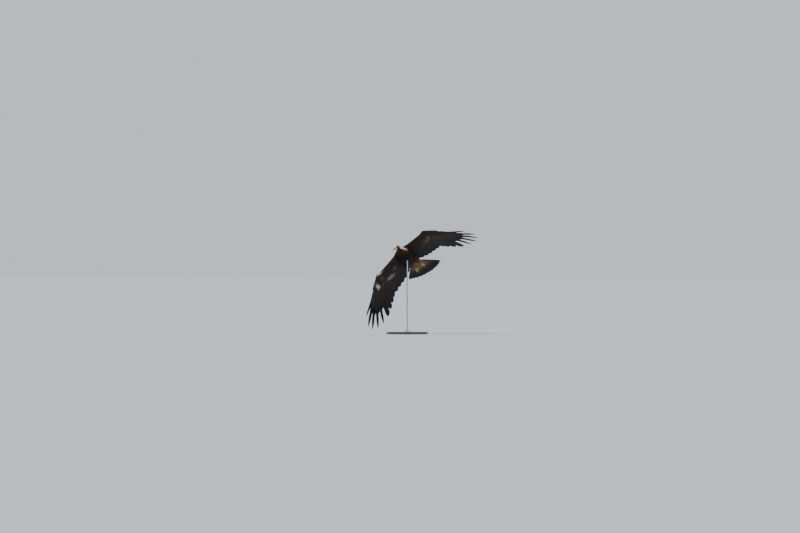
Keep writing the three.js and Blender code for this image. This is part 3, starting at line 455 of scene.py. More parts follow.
class Shape(Enum):
    """Kinds of small feathers."""

    ROUND = FeatherStyle()
    LANCE = FeatherStyle(
        peak=0.3, root_share=0.5, round_from=0.25, round_power=0.95, camber=0.3, barb_slope=0.8, sink=0.6,
    )
    SLIM = FeatherStyle(
        rows=6, columns=3, thickness=0.3, camber=0.3, barb_slope=0.3, sink=0.35, root_share=0.6,
        peak=0.3, round_from=0.3, round_power=0.9,
    )
    BRISTLE = FeatherStyle(
        rows=4, columns=3, thickness=0.3, camber=0.0, barb_slope=0.0, sink=0.5, root_share=0.9,
        round_from=0.2, round_power=1.0, lift_power=0.9,
    )
    SOFT = FeatherStyle(
        rows=6, columns=5, peak=0.4, round_from=0.35, round_power=0.8, thickness=0.5, camber=0.3,
    )
    COVERT = FeatherStyle(
        rows=9, columns=7, root_share=0.3, peak=0.35, round_from=0.66, round_power=0.5,
        thickness=0.6, camber=0.07, barb_slope=0.6, lift_power=1.0,
    )


def lens_faces(rows: int, columns: int) -> tuple[Array, Array]:
    """Numbers the faces of one thin closed feather, whose two sides share their rim.

    Args:
        rows: Points down the feather.
        columns: Points across it.

    Returns:
        The top's quads and the underside's quads. The top's points come first, then the
        underside's points without the rim.
    """
    top = np.arange(rows * columns).reshape(rows, columns)
    under = top.copy()
    inner = (rows - 2) * (columns - 2)
    under[1:-1, 1:-1] = rows * columns + np.arange(inner).reshape(rows - 2, columns - 2)

    def quads(grid: Array) -> Array:
        corners = [grid[:-1, :-1], grid[1:, :-1], grid[1:, 1:], grid[:-1, 1:]]
        return np.stack(corners, axis=-1).reshape(-1, 4)

    return quads(top), quads(under)[:, ::-1]


def lens_mesh(
    place: Placer, along: Array, across: Array, height: Array, half: Array, colours: tuple[Array, Array],
    length: Array, patch: Array, patch_size: tuple[float, float], draw: np.random.Generator,
) -> MeshData:
    """Builds many thin closed feathers from their grids.

    Args:
        place: Turns flat arrays of along, across and height, one row for each feather, into
            points.
        along: Distance down the feather, feathers by rows by columns.
        across: Distance to the side.
        height: Height of the middle of the vane.
        half: Half thickness.
        colours: Colour of the top and of the underside at each grid point.
        length: Length of each feather.
        patch: Place of each feather's patch on the unwrap.
        patch_size: Width and height of a patch.
        draw: Source of each feather's tone.

    Returns:
        The feathers as one mesh.
    """
    count, rows, columns = along.shape
    inner = (slice(None), slice(1, -1), slice(1, -1))
    rim = np.ones((rows, columns), bool)
    rim[1:-1, 1:-1] = False
    upper = height + np.where(rim, 0.0, half)
    lower = height - half

    def flat(top: Array, under: Array) -> Array:
        return np.concatenate([top.reshape(count, -1), under[inner].reshape(count, -1)], axis=1)

    points = place(flat(along, along), flat(across, across), flat(upper, lower))
    size = points.shape[1]
    shade_top = colours[0].copy()
    shade_top[:, rim] = (colours[0][:, rim] + colours[1][:, rim]) / 2
    shade = np.concatenate([
        shade_top.reshape(count, -1, 3), colours[1][inner].reshape(count, -1, 3),
    ], axis=1)
    row_share = np.linspace(0.0, 1.0, rows)[None, :, None] * np.ones((count, 1, columns))
    column_share = np.linspace(0.0, 1.0, columns)[None, None, :] * np.ones((count, rows, 1))
    vane = stack(flat(row_share, row_share), flat(column_share, column_share))
    top, under = lens_faces(rows, columns)
    one = np.concatenate([top, under])
    quads = (one[None] + (np.arange(count) * size)[:, None, None]).reshape(-1, 4)
    corner_vane = vane[:, one.ravel()]
    shift = np.where(np.arange(one.size) < top.size, -0.25, 0.25)
    patch_u = (corner_vane[..., 1] - 0.5) * 0.47 + shift
    patch_v = corner_vane[..., 0] - 0.5
    spread = stack(patch_u * patch_size[0], patch_v * patch_size[1])
    corners = (patch[:, None] + spread).reshape(-1, 4, 2)
    flat_points = points.reshape(-1, 3)
    turned = outward(flat_points, quads)
    if turned is not quads:
        corners = np.roll(corners[:, ::-1], 2, axis=1)
    return MeshData(
        points=flat_points, quads=turned, colour=shade.reshape(-1, 3),
        tone=np.repeat(draw.uniform(0.0, 1.0, count), size), span=np.repeat(length, size),
        vane=vane.reshape(-1, 2), patch=corners.reshape(-1, 2),
    )


PATCH = (0.003, 0.003)
WHOLE = (0.02, 0.02, 0.96, 0.96)


def on_unwrap(first: Array, second: Array) -> Array:
    """Returns places on the unwrap from shares both ways, clear of its rim."""
    return np.array(WHOLE[:2]) + stack(first, second) * np.array(WHOLE[2:])


@dataclass
class Roots:
    """Where small feathers stand: how their points are placed, their sizes and their colour.

    One width or lift stands for all feathers.
    """

    place: Placer
    patch: Array
    length: Array
    width: Array | float
    lift: Array | float
    colour: Array

    def __post_init__(self) -> None:
        """Gives every feather its own width and lift."""
        self.width = np.broadcast_to(self.width, len(self.length))
        self.lift = np.broadcast_to(self.lift, len(self.length))


def small_feathers(roots: Roots, style: FeatherStyle, draw: np.random.Generator) -> MeshData:
    """Grows small feathers from their roots.

    Each vane lies along its surface. Its height goes from under the skin to its lift as a
    power of the share of its length, less a camber towards its sides.

    Args:
        roots: Their places and sizes.
        style: Their form.
        draw: Source of the small differences.

    Returns:
        The feathers as one mesh.
    """
    count = len(roots.length)
    share = np.linspace(0.0, 1.0, style.rows)[None, :, None]
    share = share * (1.25 - 0.25 * share)
    side = np.linspace(-1.0, 1.0, style.columns)[None, None, :]
    width = style.half_width(share) * roots.width[:, None, None] / 2
    across = side * width * (1 + draw.uniform(-0.09, 0.09, (count, style.rows, 1)))
    ease = 1 - ramp(share - 0.7, 0.3)
    length = roots.length[:, None, None]
    along = np.minimum(share * length + style.barb_slope * np.abs(across) * ease, length)
    bow = draw.uniform(-0.06, 0.06, (count, 1, 1)) * length * share**2
    lift = roots.lift[:, None, None] * (1 + draw.uniform(-0.18, 0.18, (count, 1, 1)))
    tilt = draw.uniform(-0.07, 0.07, (count, 1, 1)) * across
    camber = style.camber * np.abs(side) ** 2 * width
    sink = np.minimum(style.sink, roots.lift)[:, None, None]
    height = lift * share**style.lift_power - sink * (1 - share) ** 2 + tilt - camber
    half = style.thickness / 2 * (1 - 0.5 * share) * (1 - 0.6 * side**2) * np.ones((count, 1, 1))
    along, across, height = np.broadcast_arrays(along, across + bow, height)
    colour = np.broadcast_to(roots.colour[:, None, None], (*along.shape, 3))
    return lens_mesh(
        roots.place, along, across, height, half, (colour, colour * 0.9), roots.length * MM,
        roots.patch, PATCH, draw,
    )


def around_line(points: Array, start: Array, end: Array) -> Array:
    """Unwraps points round a line: the angle about it, and the share of the way along it.

    Args:
        points: Roots in the bird's frame.
        start: One end of the line.
        end: Its other end.

    Returns:
        Places on the unwrap, from 0.02 to 0.98 both ways.
    """
    axis = unit(end - start)
    side = unit(np.cross(axis, [0.3, 0.2, 1.0]))
    away = points - start
    angle = np.arctan2(away @ np.cross(axis, side), away @ side) / (2 * math.pi) + 0.5
    way = (away @ axis) / np.linalg.norm(end - start)
    return on_unwrap(angle, np.clip(way, 0.0, 1.0))


def feather_piece(piece: Piece, data: MeshData, material: Material) -> Object:
    """Puts joined feathers in the scene as one piece, with its maps and point values."""
    mesh = new_mesh(piece.name, ATTITUDE.to_row(data.points), data.quads)
    add_uv(mesh, "OFBake", data.patch)
    add_uv(mesh, "vane", data.vane[data.quads.ravel()])
    add_colour(mesh, "plumage", data.colour)
    add_value(mesh, "tone", data.tone)
    add_value(mesh, "span", data.span)
    return piece.show(mesh, material)


# The head's own frame.
@dataclass(frozen=True)
class HeadFrame:
    """Where the head sits in the bird's frame and the way it faces, level in the world."""

    centre: tuple[float, float, float] = (92.0, 32.0, -6.0)
    facing: tuple[float, float, float] = (0.52, -0.83, 0.2)

    def axes(self) -> Array:
        """Returns the head's forward, left and up as rows in the bird's frame."""
        forward = unit(np.array(self.facing))
        left = unit(np.cross(ATTITUDE.world_up(), forward))
        return np.array([forward, left, np.cross(forward, left)])

    def to_bird(self, points: Array) -> Array:
        """Turns points of the head's frame into the bird's frame."""
        return points @ self.axes() + np.array(self.centre)

    def from_bird(self, points: Array) -> Array:
        """Turns points of the bird's frame into the head's frame."""
        return (points - np.array(self.centre)) @ self.axes().T


HEAD = HeadFrame()
EYE_CENTRE = np.array([19.0, 15.2, 6.3])
EYE_RADIUS = 8.7
LID_REACH = 7.6
GAZE = np.array([0.36, 0.93, 0.02])


def both_sides(point: Array, side: int) -> Array:
    """Returns points or directions of the left side, mirrored for side -1."""
    return point * np.array([1.0, side, 1.0])


# Markings of the whole bird.
@dataclass(frozen=True)
class Markings:
    """Where each colour lies. Every mask is a smooth ramp or bell of a place on the bird."""

    neck_root: tuple[float, float, float] = (18.0, 0.0, -19.0)

    def neck_axis(self) -> tuple[Array, Array, float]:
        """Returns the start, the direction and the length of the neck's line."""
        start = np.array(HEAD.centre)
        run = np.array(self.neck_root) - start
        return start, unit(run), float(np.linalg.norm(run))

    def head(self, points: Array) -> Array:
        """Colours the head: golden crown and nape, paling towards the back to a painted sun highlight, over
        a dark face and throat.
        """
        x, _, z = split(HEAD.from_bird(points))
        crown = ramp(z + 1 - 0.45 * (x + 6), 12)
        pale = ramp(20 - x, 26)
        rear = np.maximum(-4 - x, 0)
        ear = ramp(z + 23 + 0.9 * rear, 12) * ramp(13 - x, 15)
        base = mix(Tint.UMBER, Tint.RUSSET, ear * 0.8)
        # Towards the back the gold pales to pinkish white, a painted sun highlight on the nape.
        golden = mix(Tint.GOLD, Tint.SUNLIT_GOLD, pale)
        warm = mix(base, golden, np.maximum(crown * ramp(33 - x, 12), ear * 0.9))
        return mix(warm, Tint.BROWN, ramp(x - 24, 12) * 0.8)

    def neck(self, points: Array) -> Array:
        """Colours the neck by its side: pale golden nape, with a painted sun highlight near the head, and a
        russet border over a dark throat.
        """
        start, axis, length = self.neck_axis()
        away = points - start
        share = np.clip((away @ axis) / length, 0.0, 1.3)
        away = unit(away - (away @ axis)[..., None] * axis)
        nape = unit(mix(np.array([-0.3, 0.85, 0.5]), np.array([-0.2, 0.5, 0.85]), share))
        facing = np.sum(away * nape, axis=-1) + 0.14 - 0.46 * share
        left = ramp(points[..., 1] - 6, 20)
        old_gold = mix(Tint.GOLD, Tint.BROWN, 0.35)
        # Near the head the gold starts pinkish white, a painted sun highlight on the nape.
        gold = mix(Tint.SUNLIT_GOLD, old_gold, ramp(share - 0.35, 0.4))
        gold = mix(gold, Tint.RUSSET, ramp(share - 0.6, 0.4) * 0.85)
        throat = mix(Tint.UMBER, Tint.RUSSET, bell(share - 0.45, 0.3) * 0.32)
        border = mix(throat, Tint.RUSSET, ramp(facing + 0.3, 0.4) * (0.25 + 0.5 * left))
        ahead, aside, over = split(HEAD.from_bird(points))
        chin = ramp(ahead + 22, 18) * ramp(-over - 4, 12) * ramp(-aside - 6, 12)
        return mix(border, gold, ramp(facing + 0.02, 0.36) * left * (1 - chin))

    def torso(self, points: Array) -> Array:
        """Colours the torso: near black below, browner above, with a tawny vent."""
        x, _, z = split(points)
        above = ramp(z + 20, 50)
        shoulders = ramp(x, 45) * above
        vent = ramp(-215 - x, 60) * (1 - above)
        base = mix(Tint.UMBER, Tint.BROWN, 0.75 * above)
        base = mix(base, Tint.TAWNY, 0.6 * shoulders)
        return mix(base, Tint.OLIVE, 0.7 * vent)

    def leg(self, points: Array) -> Array:
        """Colours the feathered leg, from a dark thigh to a tawny foot end."""
        share = (-165.0 - points[..., 0]) / 160.0
        return mix(Tint.BROWN, Tint.TAWNY, ramp(share))

    def body(self, points: Array) -> Array:
        """Colours skin and coat of the whole body, each part melting into the next."""
        start, axis, length = self.neck_axis()
        away = norm(points - start)
        share = ((points - start) @ axis) / length
        front = mix(self.head(points), self.neck(points), ramp(away - 30, 16))
        body = mix(front, self.torso(points), ramp(share - 0.85, 0.45))
        out = ramp(np.abs(points[..., 1]) - 60, 14) * ramp(62 - points[..., 0], 12)
        return mix(body, Tint.UMBER, 0.9 * out)

    def wing(self, a: Array, c: Array, side: int, sign: int) -> Array:
        """Colours the wing's coverts, with painted rim light along the leading edge and a painted sheen on
        the right underwing.

        Args:
            a: Place along the wing, in sections from the body.
            c: Share of the way from the leading edge to the rear of the flesh.
            side: 1 for the upper side and -1 for the underside.
            sign: 1 for the left wing and -1 for the right.

        Returns:
            The colour at each place.
        """
        # edge is the leading edge, paler on both sides: partly the tawny marginal coverts, partly painted
        # rim light where it faces the sun.
        edge = ramp(0.16 - c, 0.14)
        if side > 0:
            base = mix(Tint.UMBER, Tint.BROWN, 0.7)
            panel = bell(c - 0.62, 0.24) * ramp(6.5 - a, 2.5)
            return mix(base, Tint.TAWNY, np.maximum(0.4 * panel, 0.4 * edge))
        base = mix(Tint.UMBER, Tint.BROWN, 0.3 + 0.3 * edge)
        if sign > 0:
            olive = ramp(a - 2.0, 2.6) * ramp(5.7 - a, 0.9) * bell(c - 0.82, 0.2)
            return mix(base, Tint.OLIVE, 0.62 * olive)
        # grey is the right underwing's pale grey patches: partly greyer feather bases, partly a painted
        # sheen of sunlight on the coverts.
        grey = 0.35 * bell(c - 0.6, 0.1) * bell(a - 2.2, 0.35) + bell(c - 0.86, 0.1) * bell(a - 3.5, 0.55)
        grey = grey + 0.4 * bell(a - 4.9, 0.4) * bell(c - 0.5, 0.16)
        # rim is a painted highlight: cream where the right wing's leading edge near the wrist faces the
        # sun.
        rim = bell(a - 4.5, 0.5) * ramp(0.14 - c, 0.1)
        spot = bell(a - 7.5, 0.42) * bell(c - 0.55, 0.32)
        base = mix(base, Tint.PALE_GREY, 0.65 * grey)
        return mix(base, Tint.CREAM, 0.6 * rim + 0.65 * spot)


MARKINGS = Markings()


@dataclass
class Pelt:
    """The finished skin as the ground that feathers grow from, told in the bird's frame."""

    points: Array
    normals: Array
    triangles: Array
    tree: BVHTree

    @staticmethod
    def of(mesh: Mesh) -> "Pelt":
        """Reads a mesh that lies in the row frame."""
        count = len(mesh.vertices)
        points, normals = np.empty(count * 3, np.float32), np.empty(count * 3, np.float32)
        mesh.vertices.foreach_get("co", points)
        mesh.vertices.foreach_get("normal", normals)
        mesh.calc_loop_triangles()
        corners = np.empty(len(mesh.loop_triangles) * 3, np.int32)
        mesh.loop_triangles.foreach_get("vertices", corners)
        points = ATTITUDE.from_row(points.reshape(-1, 3).astype(float))
        normals = normals.reshape(-1, 3) @ ATTITUDE.axes().T
        triangles = corners.reshape(-1, 3)
        tree = BVHTree.FromPolygons(points.tolist(), triangles.tolist())
        return Pelt(points, normals, triangles, tree)

    def scatter(self, wanted: Rule, spacing: Rule, draw: np.random.Generator) -> tuple[Array, Array]:
        """Scatters roots evenly over a part of the skin.

        Many points are drawn on its triangles by their area over the square of the spacing.
        In that order each point is kept unless a kept one stands nearer than the spacing
        allows.

        Args:
            wanted: Tells which points may carry a feather.
            spacing: Distance between roots at each point.
            draw: Source of the places.

        Returns:
            The roots and the skin's normals there.
        """
        corners = self.points[self.triangles]
        middle = corners.mean(axis=1)
        use = np.flatnonzero(wanted(middle))
        corners, middle = corners[use], middle[use]
        first, second = corners[:, 1] - corners[:, 0], corners[:, 2] - corners[:, 0]
        area = norm(np.cross(first, second)) / 2
        weight = area / spacing(middle) ** 2
        chosen = draw.choice(len(use), int(weight.sum() * 9), p=weight / weight.sum())
        parts = draw.dirichlet((1.0, 1.0, 1.0), len(chosen))[..., None]
        found = (corners[chosen] * parts).sum(axis=1)
        normals = unit((self.normals[self.triangles[use[chosen]]] * parts).sum(axis=1))
        tree = KDTree(len(found))
        for number, point in enumerate(found.tolist()):
            tree.insert(point, number)
        tree.balance()
        reach = 0.8 * spacing(found)
        free, kept = np.ones(len(found), bool), []
        for number, point in enumerate(found.tolist()):
            if free[number]:
                kept.append(number)
                free[[other for _, other, _ in tree.find_range(point, reach[number])]] = False
        return found[kept], normals[kept]

    def nearest(self, points: Array) -> tuple[Array, Array]:
        """Returns the nearest places on the skin and the normals of the faces there."""
        found = [self.tree.find_nearest(point) for point in points.reshape(-1, 3).tolist()]
        place = np.array([hit[0] for hit in found]).reshape(points.shape)
        return place, np.array([hit[1] for hit in found]).reshape(points.shape)

    def over(self, points: Array) -> Array:
        """Returns the heights of points over the skin, negative inside."""
        place, normal = self.nearest(points)
        return np.sum((points - place) * normal, axis=-1)

    def placer(self, root: Array, normal: Array, flow: Array, length: Array, width: Array) -> Placer:
        """Makes the function that lays feathers on the skin.

        A point is the root plus the tangent times the way down, plus the side times the way
        across, plus the normal times height and bulge. The bulge is a square of each way,
        fitted so that the vane keeps to the skin at its middle, end and sides.

        Args:
            root: Roots of the feathers.
            normal: The skin's normals there.
            flow: Directions in which the feathers should lie.
            length: Lengths.
            width: Widths.

        Returns:
            A function of way down, way across and height, one row for each feather.
        """
        tangent = unit(flow - np.sum(flow * normal, axis=-1, keepdims=True) * normal)
        side = np.cross(normal, tangent)
        half = length[:, None] / 2
        middle = -self.over(root + tangent * half) / half[:, 0] ** 2
        ending = -self.over(root + tangent * 2 * half) / length**2
        down = np.clip(np.maximum(middle, ending), -1.1 / length, 0.22 / length)
        centre = root + tangent * half + normal * (down * half[:, 0] ** 2)[:, None]
        reach = width[:, None] / 2
        gaps = [self.over(centre + sign * side * reach) for sign in (1, -1)]
        bend = np.clip(-np.minimum(*gaps) / reach[:, 0] ** 2, -1.4 / width, 0.5 / width)

        def place(along: Array, across: Array, height: Array) -> Array:
            raised = height + down[:, None] * along**2 + bend[:, None] * across**2
            return (
                root[:, None] + along[..., None] * tangent[:, None]
                + across[..., None] * side[:, None] + raised[..., None] * normal[:, None]
            )

        return place


# The torso, neck, head and legs, as surfaces.
@dataclass
class BodyShape:
    """Sizes of the fleshy body, each station as in the solids."""

    torso_stations: tuple = (
        (46, 36, 36, -14), (36, 56, 54, -16), (12, 76, 69, -22), (-30, 90, 81, -31), (-90, 92, 82, -34),
        (-150, 84, 74, -31), (-205, 71, 61, -25), (-255, 57, 47, -19), (-300, 46, 36, -14),
    )
    head_stations: tuple = (
        (40, 11, 14, 14.5), (36, 15, 17.5, 17), (27, 21.5, 23.5, 21.5), (14, 27.5, 29, 27),
        (-2, 30, 30.5, 30), (-22, 28, 28, 29), (-38, 20, 20, 22), (-45, 7, 8, 10),
    )
    neck_root_radius: float = 67.0
    neck_head_radius: float = 31.0
    neck_rings: int = 8
    thigh_stations: tuple = (
        (-150, 44, -72, 24), (-172, 46, -80, 33), (-205, 47, -86, 34), (-240, 46, -90, 27),
        (-268, 44, -91, 18),
    )
    tarsus_stations: tuple = (
        (-262, 44, -91, 14), (-290, 44, -90, 13.5), (-318, 43, -87, 12), (-344, 42, -83, 11),
    )
    torso_inset: float = 9.0
    neck_inset: float = 8.0
    head_inset: float = 3.0
    thigh_inset: float = 8.0
    tarsus_inset: float = 3.0

    def torso(self) -> RingSurface:
        """Returns the torso from the breast back to the rump."""
        x, width, height, z = np.array(self.torso_stations, float).T
        zero = np.zeros(len(x))
        inset = self.torso_inset
        return RingSurface(
            centres=stack(x, zero, z), sides=np.tile([0.0, 1.0, 0.0], (len(x), 1)),
            ups=np.tile([0.0, 0.0, 1.0], (len(x), 1)),
            sizes=stack(width - inset, height - inset, height - inset),
        )

    def neck_stations(self, grow: float = 0.0) -> Array:
        """Returns x, y, z and radius of the neck from the head to the body."""
        share = np.linspace(0.0, 1.0, self.neck_rings)
        shrink = (1 - share) ** 0.8
        start = np.array(HEAD.centre) - 6 * HEAD.axes()[0]
        end = np.array(MARKINGS.neck_root)
        centres = start + share[:, None] * (end - start)
        radius = self.neck_root_radius * (1 - shrink) + self.neck_head_radius * shrink + grow
        return np.concatenate([centres, radius[:, None]], axis=1)

    def neck(self) -> RingSurface:
        """Returns the neck, whose rings turn from the way the head faces to the body's axis."""
        stations = self.neck_stations(-self.neck_inset)
        share = np.linspace(0.0, 1.0, self.neck_rings)[:, None]
        forward = unit(HEAD.axes()[0] * (1 - share) + np.array([1.0, 0.0, 0.0]) * share)
        side = unit(np.cross(UP, forward))
        radius = stations[:, 3]
        return RingSurface(
            centres=stations[:, :3], sides=side, ups=np.cross(forward, side),
            sizes=stack(radius, radius * 0.96, radius * 0.96),
        )

    def head_relief(self, points: Array) -> Array:
        """Raises the brows and cheeks and hollows the sockets and lores, in bell curves."""
        x, y, z = split(HEAD.from_bird(points))
        y = np.abs(y)
        socket = bell(np.sqrt((x - 20) ** 2 + (z - 5.5) ** 2), 10.5) * ramp(y - 8, 8)
        on_brow = bell(z - 15.5 + 0.12 * (x - 18), 4.2) * bell(x - 18, 15) * ramp(y - 8, 8)
        lore = bell(np.sqrt((x - 33) ** 2 + (z - 2) ** 2), 8) * ramp(y - 6, 6)
        cheek = bell(np.sqrt((x - 8) ** 2 + (z + 12) ** 2), 12) * ramp(y - 8, 8)
        flat = bell(x - 12, 26) * ramp(z - 18, 10) * 2.4
        return 3.4 * on_brow + 2.2 * cheek - 4.4 * socket - 2.2 * lore - flat

    def head(self) -> RingSurface:
        """Returns the head from the bill's base back to the nape."""
        x, width, top, bottom = np.array(self.head_stations, float).T
        zero = np.zeros(len(x))
        _, left, up = HEAD.axes()
        inset = self.head_inset
        return RingSurface(
            centres=HEAD.to_bird(stack(x, zero, zero)), sides=np.tile(left, (len(x), 1)),
            ups=np.tile(up, (len(x), 1)), sizes=stack(width - inset, top - inset, bottom - inset),
            relief=self.head_relief,
        )

    def leg(self, stations: tuple, inset: float, side: int) -> RingSurface:
        """Returns a thigh or tarsus of one side as a tube."""
        table = np.array(stations, float)
        table[:, 1] *= side
        table[:, 3] -= inset
        return tube_surface(table)


# Wings.
class Wing(Enum):
    """The two wings, each with its sign to the bird's left."""

    LEFT = 1
    RIGHT = -1


@dataclass(frozen=True)
class WingPose:
    """Where a wing's wrist lies on the flattened wing, and how the wing bends and twists."""

    sign: int
    wrist_out: float
    wrist_forward: float
    hand_angle: float
    arm_droop: float
    hand_droop: float
    arm_twist: float
    hand_twist: float
    curl: float


POSES = {
    Wing.LEFT: WingPose(1, 407.8, 136.6, -22.5, 17.6, 40.0, 5.3, 7.2, 31.0),
    Wing.RIGHT: WingPose(-1, 408.9, 133.2, -16.1, 22.3, 33.0, 7.5, 10.5, 34.9),
}


@dataclass
class WingShape:
    """A wing worked out flat and then drooped and twisted.

    On the flat wing a point has a distance outwards, one forwards and a height over the
    middle. Droop and twist blend from the arm's to the hand's value across the wrist.
    """

    pose: WingPose
    shoulder_out: float = 62.0
    shoulder_forward: float = 10.0
    wrist_blend: float = 70.0
    camber: float = 0.00008
    reach: float = 1000.0
    step: float = 4.0
    arm_front: tuple = ((36, 34), (110, 43), (180, 66), (250, 91), (322, 117))
    arm_rear: tuple = ((36, -94), (112, -100), (188, -92), (262, -62), (340, -6))
    arm_half: tuple = (15, 14.5, 14, 13.5, 13)
    hand_front: tuple = ((-34, 7), (4, 12), (50, 12), (98, 11), (138, 9), (166, 5))
    hand_rear: tuple = ((8, -92), (28, -76), (64, -60), (106, -46), (142, -32), (168, -14))
    hand_half: tuple = (12.5, 12, 11, 10, 8.5, 5)
    under_share: float = 0.86
    skin_inset: float = 3.0
    lie_sections: tuple[float, ...] = (0, 2, 4, 5.5, 7, 8, 9, 10)
    lie_turns: tuple[float, ...] = (2, 6, 9, 13, 24, 36, 50, 62)
    line: Array = field(init=False)

    def __post_init__(self) -> None:
        """Lays out the drooped wing in short steps sideways and down."""
        out = self.shoulder_out + self.step * np.arange(int(self.reach / self.step))
        droop = self.mixed(out + self.step / 2, self.pose.arm_droop, self.pose.hand_droop)
        across = np.cumsum(np.cos(droop)) * self.step
        down = np.cumsum(np.sin(droop)) * self.step
        start = np.zeros(1)
        self.line = stack(
            self.shoulder_out + np.concatenate([start, across[:-1]]), -np.concatenate([start, down[:-1]]),
        )

    def mixed(self, out: Array, arm: float, hand: float) -> Array:
        """Returns an angle that goes from the arm's to the hand's across the wrist."""
        width = 2 * self.wrist_blend
        share = ramp(out - self.pose.wrist_out + self.wrist_blend, width)
        return np.radians(arm * (1 - share) + hand * share)

    def place(self, out: Array, forward: Array, up: Array) -> Array:
        """Places points of the flat wing on the drooped wing, in the bird's frame."""
        out, forward, up = np.broadcast_arrays(out, forward, up)
        pose = self.pose
        at = (out - self.shoulder_out) / self.step
        index = np.clip(np.floor(at).astype(int), 0, len(self.line) - 2)
        share = (at - index)[..., None]
        base = self.line[index] * (1 - share) + self.line[index + 1] * share
        droop = self.mixed(out, pose.arm_droop, pose.hand_droop)
        twist = self.mixed(out, pose.arm_twist, pose.hand_twist)
        run = pose.wrist_out - self.shoulder_out
        slope = (pose.wrist_forward - self.shoulder_forward) / run
        arm_axis = self.shoulder_forward + slope * (out - self.shoulder_out)
        hand_slope = math.tan(math.radians(pose.hand_angle))
        hand_axis = pose.wrist_forward + (out - pose.wrist_out) * hand_slope
        axis = np.where(out < pose.wrist_out, arm_axis, hand_axis)
        behind = forward - axis
        raised = up - self.camber * behind**2
        back = behind * np.cos(twist) - raised * np.sin(twist)
        lift = behind * np.sin(twist) + raised * np.cos(twist)
        point = stack(axis + back, base[..., 0] + np.sin(droop) * lift, base[..., 1] + np.cos(droop) * lift)
        return both_sides(point, pose.sign)

    def hand_point(self, reach: Array, front: Array) -> Array:
        """Returns flat places told along the hand's axis and in front of it."""
        turn = math.radians(self.pose.hand_angle)
        reach, front = np.broadcast_arrays(reach, front)
        return stack(
            self.pose.wrist_out + reach * math.cos(turn) - front * math.sin(turn),
            self.pose.wrist_forward + reach * math.sin(turn) + front * math.cos(turn),
        )

    def sections(self) -> Array:
        """Returns front, rear and half thickness of each section of the flesh."""
        hand_front, hand_rear = np.array(self.hand_front, float), np.array(self.hand_rear, float)
        front = np.concatenate([np.array(self.arm_front, float), self.hand_point(*hand_front.T)])
        rear = np.concatenate([np.array(self.arm_rear, float), self.hand_point(*hand_rear.T)])
        half = np.array([*self.arm_half, *self.hand_half], float)[:, None]
        return np.concatenate([front, rear, half], axis=1)

    def spot(self, a: Array, c: Array) -> Array:
        """Returns the flat place at a section and a share from its front to its rear."""
        row = blend_rows(self.sections(), a)
        c = np.asarray(c)[..., None]
        return row[..., 0:2] * (1 - c) + row[..., 2:4] * c

    def base(self, a: Array, c: Array, side: int) -> Array:
        """Returns how far the skin lies from the wing's middle, and behind it the vanes."""
        row = blend_rows(self.sections(), a)
        half = row[..., 4] - self.skin_inset * 0.7
        chord = norm(row[..., 0:2] - row[..., 2:4])
        shares = np.array([0.0, 0.03, 0.07, 0.14, 0.25, 0.4, 0.58, 0.8, 1.0])
        heights = np.array([0.0, 0.44, 0.66, 0.88, 1.0, 0.97, 0.88, 0.72, 0.52])
        profile = np.interp(np.clip(c, 0.0, 1.0), shares, heights)
        share = 1.0 if side > 0 else self.under_share
        behind = np.maximum(c - 1.0, 0.0) * chord
        fade = np.exp(-behind / 38.0)
        vanes = 2.2 if side > 0 else 1.4
        return profile * half * share * fade + vanes * (1 - fade)

    def flesh(self, rings: int, sides: int) -> tuple[Array, Array]:
        """Returns the closed skin of the wing."""
        a, turn = ring_grid(0.0, len(self.arm_half) + len(self.hand_half) - 1.0, rings, sides)
        c = 0.5 - 0.5 * np.cos(turn)
        spot = self.spot(a, 0.02 + 0.96 * c)
        rounding = np.minimum(1.0, np.sqrt(np.maximum(1 - c, 0.0) / 0.06))
        up = np.where(np.sin(turn) > 0, self.base(a, c, 1), -self.base(a, c, -1)) * rounding
        return closed_rings(self.place(*split(spot), up))

    def lie(self, a: Array) -> Array:
        """Returns the flat direction in which feathers lie at a section, as a turn outwards.

        It goes from nearly straight back on the arm to along the fingers at the tip.
        """
        return np.interp(a, self.lie_sections, np.radians(self.lie_turns))


@dataclass
class WingCarrier:
    """One side of a wing's skin, which coverts lie on."""

    shape: WingShape
    side: int

    def carry(
        self, u: Array, v: Array, heading: Array, along: Array, across: Array, height: Array,
    ) -> Array:
        """Places feather points on the wing, as on a ring surface.

        Args:
            u: Sections of the roots.
            v: Shares of the way from the leading edge to the flesh's rear, of the roots.
            heading: Turn of each feather from the lie of the wing.
            along: Distance from the root down each feather, for each of its points.
            across: Distance to the side.
            height: Height over the skin.

        Returns:
            The points in the bird's frame.
        """
        turn = self.shape.lie(u) + heading
        down = stack(np.sin(turn), -np.cos(turn))
        over = stack(-down[..., 1], down[..., 0])
        small = 0.02
        root = self.shape.spot(u, v)
        by_a = (self.shape.spot(u + small, v) - self.shape.spot(u - small, v)) / (2 * small)
        by_c = (self.shape.spot(u, v + small) - self.shape.spot(u, v - small)) / (2 * small)
        cross = by_a[:, 0] * by_c[:, 1] - by_a[:, 1] * by_c[:, 0]
        move = along[..., None] * down[:, None] + across[..., None] * over[:, None]
        step_a = (move[..., 0] * by_c[:, None, 1] - move[..., 1] * by_c[:, None, 0]) / cross[:, None]
        step_c = (move[..., 1] * by_a[:, None, 0] - move[..., 0] * by_a[:, None, 1]) / cross[:, None]
        spot = root[:, None] + move
        a = np.clip(u[:, None] + step_a, 0.0, 10.0)
        up = self.shape.base(a, np.maximum(v[:, None] + step_c, 0.0), self.side) + height
        return self.shape.place(spot[..., 0], spot[..., 1], self.side * up)

    def patch(self, u: Array, v: Array) -> Array:
        """Returns the places of roots on the unwrap of the skin."""
        return on_unwrap(u / 10.0, np.clip(v, 0.0, 1.2) / 1.2)


